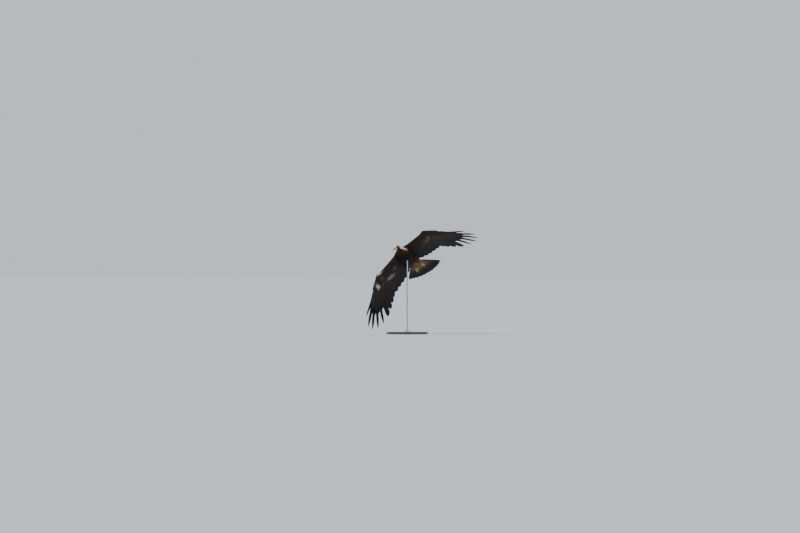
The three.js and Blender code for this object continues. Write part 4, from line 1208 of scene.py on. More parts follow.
# Long feathers of wings and tail.
@dataclass
class Quills:
    """Long feathers on a flat plan: root, tip, half widths, bend, curl, height and fingers.

    One value stands for all feathers.
    """

    root: Array
    tip: Array
    outer: Array | float
    inner: Array | float
    bend: Array | float = 0.0
    curl: Array | float = 0.0
    level: Array | float = 0.0
    fingered: Array | bool = False

    def __post_init__(self) -> None:
        """Gives every feather its own values."""
        for name in ("outer", "inner", "bend", "curl", "level", "fingered"):
            setattr(self, name, np.broadcast_to(getattr(self, name), len(self.root)))

    def spacing(self, end: Array) -> Array:
        """Returns each feather's distance from its neighbours at one end, square to its line."""
        line = unit(self.tip - self.root)
        gap = np.gradient(end, axis=0)
        across = np.abs(gap[:, 1] * line[:, 0] - gap[:, 0] * line[:, 1])
        return np.maximum(across, 4.0)


@dataclass(frozen=True)
class VaneStyle:
    """Form of the long feathers.

    A broad vane widens within the first part of its length, and its end is a quarter of an
    ellipse. A fingered one narrows past the notch to a share of its width.
    """

    rows: int = 52
    columns: tuple[float, ...] = (-1.0, -0.8, -0.55, -0.3, -0.07, 0.0, 0.07, 0.3, 0.55, 0.8, 1.0)
    widen: float = 0.16
    round_from: float = 0.84
    notch: float = 0.5
    notch_length: float = 0.12
    outer_finger: float = 0.8
    inner_finger: float = 0.52
    barb_slope: float = 0.62
    rise: float = 2.0
    shaft: float = 1.0
    vane: float = 0.38
    splits: int = 4
    split_depth: float = 0.2
    split_reach: float = 0.018

    def widths(self, share: Array, outer: bool, fingered: Array) -> Array:
        """Returns the half width's share of one vane, for each feather and row."""
        grow = 0.13 + 0.87 * ramp(share, self.widen if outer else self.widen * 1.3)
        left = np.clip((share - self.round_from) / (1 - self.round_from), 0.0, 1.0)
        ends = np.sqrt(np.maximum(1 - left**2, 0.0))
        finger = self.outer_finger if outer else self.inner_finger
        notch = self.notch + (0.0 if outer else 0.03)
        narrow = 1 - (1 - finger) * ramp(share - notch, self.notch_length)
        taper = 1 - 0.22 * ramp(share - 0.6, 0.4)
        pointed = (1 - np.clip((share - 0.78) / 0.22, 0.0, 1.0) ** 2) ** 0.7
        broad = grow * ends
        fingers = grow * narrow * taper * pointed
        return np.maximum(np.where(fingered[:, None], fingers, broad), 0.02)


def long_feathers(
    place: Placer, quills: Quills, style: VaneStyle, shades: Callable[[Array, Array, Array], tuple],
    draw: np.random.Generator, area: tuple[float, float, float, float] = WHOLE,
) -> MeshData:
    """Builds a row of long feathers.

    A vane's height is its level, plus the rise times its offset over the spacing, plus its
    curl, so that the row lies like shingles. Splits pull the rim in along a barb.

    Args:
        place: Puts flat points, as out, forward and up, on the wing or tail.
        quills: The feathers.
        style: Their form.
        shades: Gives the colours of top and underside from shares along, across and the
            feather's number.
        draw: Source of the splits and tones.
        area: Lowest corner and size of the row's part of the unwrap.

    Returns:
        The feathers as one mesh.
    """
    count = len(quills.root)
    even = np.linspace(0.0, 1.0, style.rows)[None, :]
    share = 0.15 * even + 0.85 * np.sin(even * math.pi / 2)
    side = np.array(style.columns)[None, None, :]
    run = quills.tip - quills.root
    length = norm(run)
    line = run / length[:, None]
    outer = style.widths(share, True, quills.fingered) * quills.outer[:, None]
    inner = style.widths(share, False, quills.fingered) * quills.inner[:, None]
    pulled = []
    for _ in range(2):
        cuts = draw.uniform(0.2, 0.97, (count, style.splits))
        depth = draw.uniform(0.2, 1.0, (count, style.splits)) * style.split_depth
        gaps = np.abs(share[:, :, None] - cuts[:, None, :]) / style.split_reach
        pulled.append(1 - np.max(np.clip(1 - gaps, 0.0, 1.0) * depth[:, None, :], axis=-1))
    reach = np.where(side > 0, outer[..., None], inner[..., None])
    rim = ramp(np.abs(side) - 0.3, 0.7)
    pull = np.where(side > 0, pulled[0][..., None], pulled[1][..., None])
    offset = side * reach * (1 - rim * (1 - pull))
    bend = quills.bend[:, None] * 4 * share * (1 - share)
    ease = 1 - ramp(share - 0.72, 0.28)
    slant = np.abs(offset) * style.barb_slope * ease[..., None]
    along = share[..., None] * length[:, None, None] + slant
    across = offset + bend[..., None]
    root_gap, tip_gap = quills.spacing(quills.root), quills.spacing(quills.tip)
    spacing = root_gap[:, None] + (tip_gap - root_gap)[:, None] * share
    curl = quills.curl[:, None] * ramp(share - 0.25, 0.9)
    height = quills.level[:, None] + curl
    height = height[..., None] + style.rise * offset / spacing[..., None]
    height = height - 0.02 * np.abs(offset) ** 1.3
    shaft = style.shaft * (1 - 0.65 * share)[..., None] * bell(side, 0.09)
    half = shaft + style.vane * (1 - 0.5 * np.abs(side)) * np.ones((count, style.rows, 1))
    down_share = np.broadcast_to(share[..., None], along.shape)
    colours = shades(down_share, np.broadcast_to(side, along.shape), np.arange(count))

    def put(down: Array, over: Array, high: Array) -> Array:
        out = quills.root[:, None, 0] + line[:, None, 0] * down - line[:, None, 1] * over
        forward = quills.root[:, None, 1] + line[:, None, 1] * down + line[:, None, 0] * over
        return place(out, forward, high)

    cell = (area[2] / count, area[3])
    centres = stack(area[0] + (np.arange(count) + 0.5) * cell[0], area[1] + cell[1] / 2)
    return lens_mesh(
        put, along, across, height, half, colours, length * MM, centres,
        (cell[0] * 0.94, cell[1] * 0.94), draw,
    )


# Node trees.
class Graph:
    """Short ways to add, set and link the nodes of a tree."""

    def __init__(self, tree: NodeTree) -> None:
        """Starts with an empty tree."""
        self.tree = tree
        tree.nodes.clear()

    def add(self, kind: str, inputs: dict | None = None, **settings: object) -> Node:
        """Adds a node.

        Args:
            kind: The node's type name.
            inputs: Values or sockets for its inputs, by name or number.
            settings: Properties of the node.

        Returns:
            The node.
        """
        node = self.tree.nodes.new(kind)
        for name, value in settings.items():
            setattr(node, name, value)
        for name, value in (inputs or {}).items():
            self.feed(node.inputs[name], value)
        return node

    def feed(self, socket: NodeSocket, value: object) -> None:
        """Links a socket, or sets its value."""
        if isinstance(value, NodeSocket):
            self.tree.links.new(value, socket)
        elif isinstance(value, Array):
            socket.default_value = (*[float(part) for part in value], 1.0)
        else:
            socket.default_value = value

    def math(self, operation: str, *values: object) -> NodeSocket:
        """Adds a Math node and returns its result."""
        return self.add("ShaderNodeMath", dict(enumerate(values)), operation=operation).outputs[0]

    def times(self, first: object, second: object) -> NodeSocket:
        """Multiplies two values."""
        return self.math("MULTIPLY", first, second)

    def line(self, value: object, slope: object, start: object) -> NodeSocket:
        """Returns the value times a slope, plus a start."""
        return self.math("MULTIPLY_ADD", value, slope, start)

    def vector(self, *parts: object) -> NodeSocket:
        """Makes a vector of its components."""
        return self.add("ShaderNodeCombineXYZ", dict(enumerate(parts))).outputs[0]

    def gained(self, colour: object, gain: object) -> NodeSocket:
        """Multiplies a colour by a value."""
        return self.add("ShaderNodeVectorMath", {0: colour, 3: gain}, operation="SCALE").outputs[0]

    def map(self, name: str) -> list[NodeSocket]:
        """Returns the two values of one of the mesh's maps."""
        place = self.add("ShaderNodeUVMap", uv_map=name).outputs[0]
        return self.add("ShaderNodeSeparateXYZ", {0: place}).outputs[:2]

    def ramp(self, value: object, low: float, high: float, smooth: bool = True) -> NodeSocket:
        """Returns 0 at or below low and 1 at or above high."""
        node = self.add(
            "ShaderNodeMapRange", {"Value": value, "From Min": low, "From Max": high},
            interpolation_type="SMOOTHSTEP" if smooth else "LINEAR",
        )
        return node.outputs[0]

    def blend(self, share: object, first: object, second: object) -> NodeSocket:
        """Mixes two colours by the share of the second."""
        return self.add("ShaderNodeMix", {0: share, 6: first, 7: second}, data_type="RGBA").outputs[2]

    def noise(self, vector: object, scale: float, detail: float = 3.0) -> NodeSocket:
        """Returns a noise value around a half."""
        inputs = {"Vector": vector, "Scale": scale, "Detail": detail}
        return self.add("ShaderNodeTexNoise", inputs).outputs["Fac"]

    def scaled(self, vector: object, scale: tuple[float, float, float]) -> NodeSocket:
        """Stretches a vector."""
        return self.add("ShaderNodeMapping", {"Vector": vector, "Scale": scale}).outputs[0]

    def object_point(self) -> NodeSocket:
        """Returns the point in the piece's own coordinates."""
        return self.add("ShaderNodeTexCoord").outputs["Object"]

    def attribute(self, name: str, output: str) -> NodeSocket:
        """Returns a value that the mesh carries."""
        return self.add("ShaderNodeAttribute", attribute_name=name).outputs[output]

    def group(self, tree: NodeTree, inputs: dict) -> bpy.types.NodeOutputs:
        """Places a node group and returns its outputs."""
        return self.add("ShaderNodeGroup", inputs, node_tree=tree).outputs

    def bump(self, height: object, strength: float, distance: float) -> NodeSocket:
        """Returns a normal bent by a height."""
        inputs = {"Height": height, "Strength": strength, "Distance": distance}
        return self.add("ShaderNodeBump", inputs).outputs[0]

    def shader(self, **inputs: object) -> None:
        """Adds the surface shader and the output."""
        titles = [name.replace("_", " ").title().replace("Ior", "IOR") for name in inputs]
        node = self.add("ShaderNodeBsdfPrincipled", dict(zip(titles, inputs.values())))
        self.add("ShaderNodeOutputMaterial", {"Surface": node.outputs[0]})


VANE_INPUTS = ("Along", "Across", "Span", "Tone")


def new_group(name: str, own: str, outputs: tuple[str, ...]) -> tuple[Graph, list[NodeSocket]]:
    """Starts a group of nodes that reads a feather's vane.

    Args:
        name: Its name.
        own: Name of the one input that it has besides those of every vane.
        outputs: Names of its outputs.

    Returns:
        Its graph and the values of its five inputs.
    """
    tree = bpy.data.node_groups.new(name, "ShaderNodeTree")
    labels = [(label, "INPUT") for label in (*VANE_INPUTS, own)]
    for label, way in labels + [(label, "OUTPUT") for label in outputs]:
        tree.interface.new_socket(label, in_out=way, socket_type="NodeSocketFloat")
    graph = Graph(tree)
    return graph, graph.add("NodeGroupInput").outputs[:5]


def vane_values(graph: Graph) -> dict[str, NodeSocket]:
    """Returns what those groups read: places along and across the vane, its span and tone."""
    along, across = graph.map("vane")
    values = (along, across, graph.attribute("span", "Fac"), graph.attribute("tone", "Fac"))
    return dict(zip(VANE_INPUTS, values))


def barb_group() -> NodeTree:
    """Builds the effect of a vane: barbs that clump, a shaft line, and masks of rim and tip."""
    graph, (along, across, span, tone, clumps) = new_group(
        "vane detail", "Clumps", ("Height", "Streak", "Shaft", "Rim", "Tip"),
    )
    length = graph.times(along, span)
    side = graph.math("ABSOLUTE", graph.line(across, 2.0, -1.0))
    place = graph.vector(graph.times(length, clumps), graph.times(across, 1.6), graph.times(tone, 37.0))
    streak = graph.noise(place, 1.0, 4.0)
    fine = graph.math("SINE", graph.times(length, 3600.0))
    shaft = graph.ramp(side, 0.11, 0.03)
    graph.add("NodeGroupOutput", {
        "Height": graph.line(shaft, 0.9, graph.line(fine, 0.12, streak)), "Streak": streak,
        "Shaft": shaft, "Rim": graph.ramp(side, 0.55, 1.0), "Tip": graph.ramp(along, 0.62, 1.0),
    })
    return graph.tree


def bar_group() -> NodeTree:
    """Builds the uneven dark bars and the dark end of a flight feather."""
    graph, (along, across, span, tone, band) = new_group("flight bars", "Band", ("Bars", "End"))
    length = graph.times(along, span)
    place = graph.vector(graph.times(length, 45.0), graph.times(across, 4.0), graph.times(tone, 19.0))
    wander = graph.noise(place, 1.0, 3.0)
    phase = graph.line(length, 210.0, graph.times(wander, 9.0))
    bars = graph.ramp(graph.math("SINE", phase), -0.1, 0.75)
    edge = graph.math("SUBTRACT", graph.line(wander, 0.12, along), band)
    graph.add("NodeGroupOutput", {
        "Bars": graph.times(bars, graph.ramp(wander, 0.42, 0.62)), "End": graph.ramp(edge, 0.0, 0.14),
    })
    return graph.tree


@dataclass(frozen=True)
class FeatherFinish:
    """Finish of a coat of small feathers, over the colour that each feather carries."""

    name: str
    rim: float = 0.35
    tip: float = 0.25
    tone: float = 0.5
    shaft: float = 0.25
    clumps: float = 420.0
    bump: float = 0.5
    roughness: float = 0.62

    def material(self, detail: NodeTree) -> Material:
        """Builds the material: the carried colour, streaked along the barbs and paler at rims."""
        material, graph = new_material(self.name)
        values = vane_values(graph)
        group = graph.group(detail, {**values, "Clumps": self.clumps})
        gain = graph.times(
            graph.line(group["Streak"], 0.9, 0.55),
            graph.line(values["Tone"], self.tone, 1 - self.tone / 2),
        )
        paler = graph.line(group["Rim"], self.rim, 1.0)
        paler = graph.line(group["Tip"], self.tip, paler)
        paler = graph.line(group["Shaft"], -self.shaft, paler)
        colour = graph.gained(graph.attribute("plumage", "Color"), graph.times(gain, paler))
        graph.shader(
            base_color=colour, roughness=self.roughness,
            normal=graph.bump(group["Height"], self.bump, 0.0004),
            sheen_weight=0.02, sheen_roughness=0.5, specular_ior_level=0.12,
        )
        return material


@dataclass(frozen=True)
class FlightFinish:
    """Finish of flight and tail feathers: bars on the vane and a dark end."""

    name: str
    band: float = 0.74
    bars: float = 0.4
    dark: Tint = Tint.BLUE_BLACK
    roughness: float = 0.5

    def material(self, detail: NodeTree, bars: NodeTree) -> Material:
        """Builds the material from the carried colour, the bars and the dark end."""
        material, graph = new_material(self.name)
        values = vane_values(graph)
        group = graph.group(detail, {**values, "Clumps": 160.0})
        pattern = graph.group(bars, {**values, "Band": self.band})
        barred = graph.times(pattern["Bars"], self.bars)
        colour = graph.blend(barred, graph.attribute("plumage", "Color"), self.dark.light)
        colour = graph.blend(pattern["End"], colour, self.dark.light)
        colour = graph.gained(colour, graph.line(group["Streak"], 0.7, 0.65))
        colour = graph.blend(graph.times(group["Shaft"], 0.45), colour, Tint.ROSE_GREY.light)
        graph.shader(
            base_color=colour, roughness=self.roughness,
            normal=graph.bump(group["Height"], 0.45, 0.0006), specular_ior_level=0.15,
        )
        return material


def new_material(name: str) -> tuple[Material, Graph]:
    """Starts a node material."""
    material = bpy.data.materials.new(name)
    material.use_nodes = True
    return material, Graph(material.node_tree)


def skin_material() -> Material:
    """Builds the skin under the coat: the coat's own colours, darker, with a fine down."""
    material, graph = new_material("downy_skin")
    point = graph.object_point()
    down = graph.noise(point, 900.0, 2.0)
    gain = graph.line(down, 0.5, 0.3)
    tint = graph.gained(graph.attribute("plumage", "Color"), gain)
    graph.shader(base_color=tint, roughness=0.9, normal=graph.bump(down, 0.6, 0.001))
    return material


@dataclass(frozen=True)
class HornFinish:
    """Finish of horn: pale at its base and dark at its tip along the piece's own map."""

    name: str
    pale: int
    dark: int
    start: float
    stop: float
    roughness: float = 0.28

    def material(self) -> Material:
        """Builds the material with growth lines across."""
        material, graph = new_material(self.name)
        way, turn = graph.map("shape")
        cloud = graph.noise(graph.object_point(), 240.0, 4.0)
        wander = graph.line(cloud, 0.22, graph.math("SUBTRACT", way, 0.11))
        share = graph.ramp(wander, self.start, self.stop)
        colour = graph.blend(share, colour_of(self.pale), colour_of(self.dark))
        lines = graph.noise(graph.scaled(graph.vector(way, turn), (60.0, 3.0, 1.0)), 1.0, 3.0)
        colour = graph.blend(graph.times(lines, 0.25), colour, colour_of(self.dark))
        graph.shader(
            base_color=colour, roughness=graph.line(lines, 0.2, self.roughness),
            normal=graph.bump(lines, 0.25, 0.0004), coat_weight=0.25, coat_roughness=0.15,
        )
        return material


@dataclass(frozen=True)
class WaxFinish:
    """Finish of bare yellow skin, with fine wrinkles or scales, a darker grime and painted shade in the
    nostril pits.
    """

    name: str
    light: int
    deep: int
    grain: float
    depth: float
    line: float = 0.45

    def material(self) -> Material:
        """Builds the material from a cell pattern and a slow change of colour."""
        material, graph = new_material(self.name)
        point = graph.object_point()
        cells = graph.add(
            "ShaderNodeTexVoronoi", {"Vector": point, "Scale": self.grain},
            feature="DISTANCE_TO_EDGE",
        ).outputs[0]
        edge = graph.ramp(cells, 0.0, 0.12)
        cloud = graph.noise(point, 60.0, 4.0)
        colour = graph.blend(graph.ramp(cloud, 0.35, 0.7), colour_of(self.light), colour_of(self.deep))
        seam = graph.line(edge, -self.line, self.line)
        colour = graph.blend(seam, colour, colour_of(self.deep) * 0.5)
        # Painted shade: the pit attribute darkens the nostrils near black, as the shade inside their holes.
        colour = graph.blend(graph.attribute("pit", "Fac"), colour, Tint.DEEP.light)
        graph.shader(
            base_color=colour, roughness=0.42, normal=graph.bump(edge, 0.5, self.depth),
            coat_weight=0.12, coat_roughness=0.3,
        )
        return material


def eye_material() -> Material:
    """Builds the eye by the angle from its gaze: pupil, amber iris with spokes, dark rim."""
    material, graph = new_material("eye")
    away, turn = graph.map("shape")
    spokes = graph.noise(graph.vector(graph.times(turn, 90.0), graph.times(away, 14.0)), 1.0, 3.0)
    iris = graph.blend(graph.ramp(away, 0.13, 0.22), colour_of(0x9C6322), colour_of(0x44240C))
    iris = graph.blend(graph.times(spokes, 0.45), iris, colour_of(0x3A1E0A))
    colour = graph.blend(graph.ramp(away, 0.125, 0.137), colour_of(0x030303), iris)
    colour = graph.blend(graph.ramp(away, 0.215, 0.235), colour, colour_of(0x140E0B))
    graph.shader(base_color=colour, roughness=0.15, coat_weight=0.4, coat_roughness=0.02, ior=1.35)
    return material


def wood_material() -> Material:
    """Builds dark oiled wood with long grain and pores."""
    material, graph = new_material("dark_wood")
    point = graph.object_point()
    warp = graph.noise(graph.scaled(point, (3.0, 12.0, 12.0)), 1.0, 4.0)
    rings = graph.add("ShaderNodeTexWave", {
        "Vector": graph.scaled(point, (1.2, 16.0, 16.0)), "Scale": 1.6,
        "Distortion": graph.times(warp, 9.0), "Detail": 3.0,
    }, bands_direction="Y").outputs["Fac"]
    pores = graph.ramp(graph.noise(graph.scaled(point, (60.0, 1400.0, 1400.0)), 1.0, 2.0), 0.6, 0.72)
    colour = graph.blend(rings, colour_of(0x2B1D15), colour_of(0x4A3222))
    colour = graph.blend(graph.times(pores, 0.6), colour, colour_of(0x140D09))
    graph.shader(
        base_color=colour, roughness=graph.line(rings, 0.12, 0.34),
        normal=graph.bump(pores, -0.3, 0.0006), coat_weight=0.35, coat_roughness=0.2,
    )
    return material


def steel_material() -> Material:
    """Builds satin steel, brushed round the rod, with faint smudges."""
    material, graph = new_material("satin_steel")
    point = graph.object_point()
    brushed = graph.noise(graph.scaled(point, (80.0, 80.0, 2600.0)), 1.0, 2.0)
    smudge = graph.noise(point, 18.0, 4.0)
    rough = graph.line(brushed, 0.12, graph.line(smudge, 0.16, 0.14))
    colour = graph.blend(smudge, colour_of(0x9CA0A5), colour_of(0xC3C6CA))
    graph.shader(base_color=colour, metallic=1.0, roughness=rough, normal=graph.bump(brushed, 0.12, 0.0003))
    return material


# Sub-assemblies.
@dataclass
class Skin:
    """One skin under the coat, made of the flesh of body, legs, wings and tail, melted together."""

    body: BodyShape
    wings: dict[Wing, WingShape]
    tail: "Tail"
    voxel: float = 2.65
    smoothing: int = 3
    replaces: tuple[str, ...] = (
        "torso", "neck", "head", "wing_left_arm", "wing_left_hand", "wing_right_arm",
        "wing_right_hand", "tail", "thigh_left", "thigh_right", "tarsus_left", "tarsus_right",
    )

    def parts(self) -> list[tuple[Array, Array]]:
        """Returns points and quads of each closed part."""
        body = self.body
        made = [
            body.torso().closed_grid(60, 72), body.neck().closed_grid(24, 56),
            body.head().closed_grid(90, 110), self.tail.root_surface().closed_grid(24, 40),
        ]
        thigh, tarsus = (body.thigh_stations, body.thigh_inset), (body.tarsus_stations, body.tarsus_inset)
        for side, _ in SIDES:
            made += [body.leg(*form, side).closed_grid(24, 32) for form in (thigh, tarsus)]
        return made + [wing.flesh(120, 40) for wing in self.wings.values()]

    def build(self, material: Material) -> "Pelt":
        """Melts the parts into one mesh, shows it and returns it as the ground of the coat."""
        points, quads = joined_parts(self.parts())
        rough = bpy.data.objects.new("rough_skin", new_mesh("rough", ATTITUDE.to_row(points), quads))
        bpy.context.scene.collection.objects.link(rough)
        remesh = rough.modifiers.new("melt", "REMESH")
        remesh.mode = "VOXEL"
        remesh.voxel_size = self.voxel * MM
        rough.modifiers.new("smooth", "SMOOTH").iterations = self.smoothing
        graph = bpy.context.evaluated_depsgraph_get()
        mesh = bpy.data.meshes.new_from_object(rough.evaluated_get(graph))
        bpy.data.objects.remove(rough)
        mesh.name = "skin"
        mesh.materials.clear()
        mesh.shade_smooth()
        pelt = Pelt.of(mesh)
        coat = BodyCoat(body=self.body, tail=self.tail, pelt=pelt)
        colour = MARKINGS.body(pelt.points)
        leg = coat.is_leg(pelt.points, 1) | coat.is_leg(pelt.points, -1)
        colour[leg] = MARKINGS.leg(pelt.points[leg])
        colour[np.abs(pelt.points[:, 1]) > coat.wing_cut] = Tint.UMBER.light
        add_colour(mesh, "plumage", colour)
        Piece("skin", "plumage_dark", self.replaces).show(mesh, material)
        return pelt


@dataclass
class Tail:
    """The fan of twelve tail feathers on its fleshy root, with coverts over and under it."""

    root: tuple[float, float, float] = (-300.0, 0.0, -12.0)
    pitch: float = math.radians(5.0)
    twist: float = math.radians(13.0)
    half_fan: float = math.radians(39.0)
    length: float = 348.0
    root_reach: float = 58.0
    pairs: int = 6
    arch: float = 0.0002
    root_stations: tuple = ((-30, 50, 40), (0, 44, 34), (30, 40, 25), (60, 40, 15), (92, 34, 7))
    inset: float = 7.0
    seed: int = 37

    def axes(self) -> Array:
        """Returns back, left and up of the tail as rows in the bird's frame."""
        back = np.array([-math.cos(self.pitch), 0.0, -math.sin(self.pitch)])
        left = np.array([0.0, math.cos(self.twist), -math.sin(self.twist)])
        return np.array([back, left, unit(np.cross(left, back))])

    def point(self, back: Array, left: Array, up: Array) -> Array:
        """Places points told back, left and up of the tail's root, on its arched plane."""
        back, left, up = np.broadcast_arrays(back, left, up)
        local = stack(back, left, up - self.arch * left**2)
        return local @ self.axes() + np.array(self.root)

    def root_surface(self) -> RingSurface:
        """Returns the fleshy root as a ring surface."""
        back, width, height = np.array(self.root_stations, float).T
        _, left, up = self.axes()
        thin = np.minimum(self.inset, height * 0.45)
        return RingSurface(
            centres=self.point(back, 0.0, 0.0), sides=np.tile(left, (len(back), 1)),
            ups=np.tile(up, (len(back), 1)), sizes=stack(width - self.inset, height - thin, height - thin),
        )

    def fan(self, share: Array, reach: Array) -> Array:
        """Returns flat places out and forward on one half of the fan."""
        angle = self.half_fan * (0.06 + 0.94 * share)
        return stack(reach * np.sin(angle), -reach * np.cos(angle))

    def shades(self, along: Array, across: Array, _: Array) -> tuple:
        """Colours the tail feathers: greyish, darker below the tip, on top and beneath."""
        top = mix(Tint.GREY_BROWN, Tint.BROWN, 0.45 + 0.3 * along)
        under = mix(Tint.ROSE_GREY, Tint.GREY_BROWN, ramp(along - 0.3, 0.35))
        return top, mix(under, Tint.GREY_BROWN, 0.1 + 0.4 * ramp(across * 0.5 + 0.5))

    def feathers(self) -> MeshData:
        """Returns the tail feathers of both sides."""
        draw = np.random.default_rng(self.seed)
        made = []
        for side in (1, -1):
            share = np.linspace(0.0, 1.0, self.pairs)
            reach = self.length - 12.0 * share**2 + draw.uniform(-2.5, 2.5, self.pairs)
            inner = np.where(share == 0.0, 15.0, 33.0)
            quills = Quills(
                root=self.fan(share, self.root_reach), tip=self.fan(share, reach), outer=22.0,
                inner=inner, curl=-4.0,
            )

            def place(out: Array, forward: Array, up: Array) -> Array:
                return self.point(-forward, side * out, up)

            style = replace(VaneStyle(), round_from=0.86, splits=5)
            area = (0.02 if side > 0 else 0.51, 0.02, 0.47, 0.96)
            made.append(long_feathers(place, quills, style, self.shades, draw, area))
        return MeshData.joined(made)


@dataclass
class TailCarrier:
    """One face of the tail, which its coverts lie on, with places told back and to the side."""

    tail: Tail
    side: int

    def base(self, back: Array, left: Array) -> Array:
        """Returns the height of the fleshy root's face, which fades out onto the vanes."""
        stations = np.array(self.tail.root_stations, float)
        high = np.interp(back, stations[:, 0], stations[:, 2] * 0.75)
        wide = np.interp(back, stations[:, 0], stations[:, 1])
        crown = np.sqrt(np.maximum(1 - (left / wide) ** 2, 0.0))
        return np.maximum(high * crown, 2.4)

    def carry(
        self, u: Array, v: Array, heading: Array, along: Array, across: Array, height: Array,
    ) -> Array:
        """Places feather points: u is the root's distance back, v its distance to the left."""
        turn = heading[:, None]
        back = u[:, None] + along * np.cos(turn) - across * np.sin(turn)
        left = v[:, None] + along * np.sin(turn) + across * np.cos(turn)
        return self.tail.point(back, left, self.side * (self.base(back, left) + height))

    def patch(self, u: Array, v: Array) -> Array:
        """Returns the places of roots on the unwrap of the skin."""
        part = 0.25 if self.side > 0 else 0.75
        return on_unwrap(part + v / 400.0, np.clip((u + 40) / 200.0, 0.0, 1.0))


# Reach from the wrist, and angle off the hand's line, of the tip of each primary.
PRIMARY_TIPS = (
    (378, 68.5), (398, 60.5), (430, 52.5), (475, 44.5), (532, 36.5), (592, 28.5), (628, 20.5),
    (622, 13.0), (580, 6.5), (465, 0.0),
)
# Flat place of the tip of the innermost secondary, and how far the outermost stays off a primary.
INNER_TIP = (84.0, -291.0)
OUTER_GAP = (17.0, 6.0)


def primary_plan(shape: WingShape) -> tuple[Array, Array]:
    """Returns flat roots and tips of the ten primaries, from the wrist outwards."""
    reach, angle = np.array(PRIMARY_TIPS).T
    turn = np.radians(shape.pose.hand_angle - angle)
    wrist = np.array([shape.pose.wrist_out, shape.pose.wrist_forward])
    tips = wrist + stack(reach * np.cos(turn), reach * np.sin(turn))
    share = np.linspace(0.0, 1.0, len(reach))
    roots = shape.hand_point(8.0 + 142.0 * share, -22.0 + 16.0 * share)
    return roots, tips


def secondary_plan(shape: WingShape, share: Array) -> tuple[Array, Array]:
    """Returns flat roots and tips of secondaries, at shares from the body to the wrist."""
    line = np.array([[70, -60], [170, -62], [252, -36], shape.hand_point(-2.0, -50.0)], float)
    steps = way_along(line)
    way = share * steps[-1]
    roots = stack(np.interp(way, steps, line[:, 0]), np.interp(way, steps, line[:, 1]))
    last = primary_plan(shape)[1][0]
    out = INNER_TIP[0] + (last[0] - OUTER_GAP[0] - INNER_TIP[0]) * share
    forward = INNER_TIP[1] + (last[1] - OUTER_GAP[1] - INNER_TIP[1]) * share
    return roots, stack(out, forward - 22.0 * np.sin(math.pi * share))


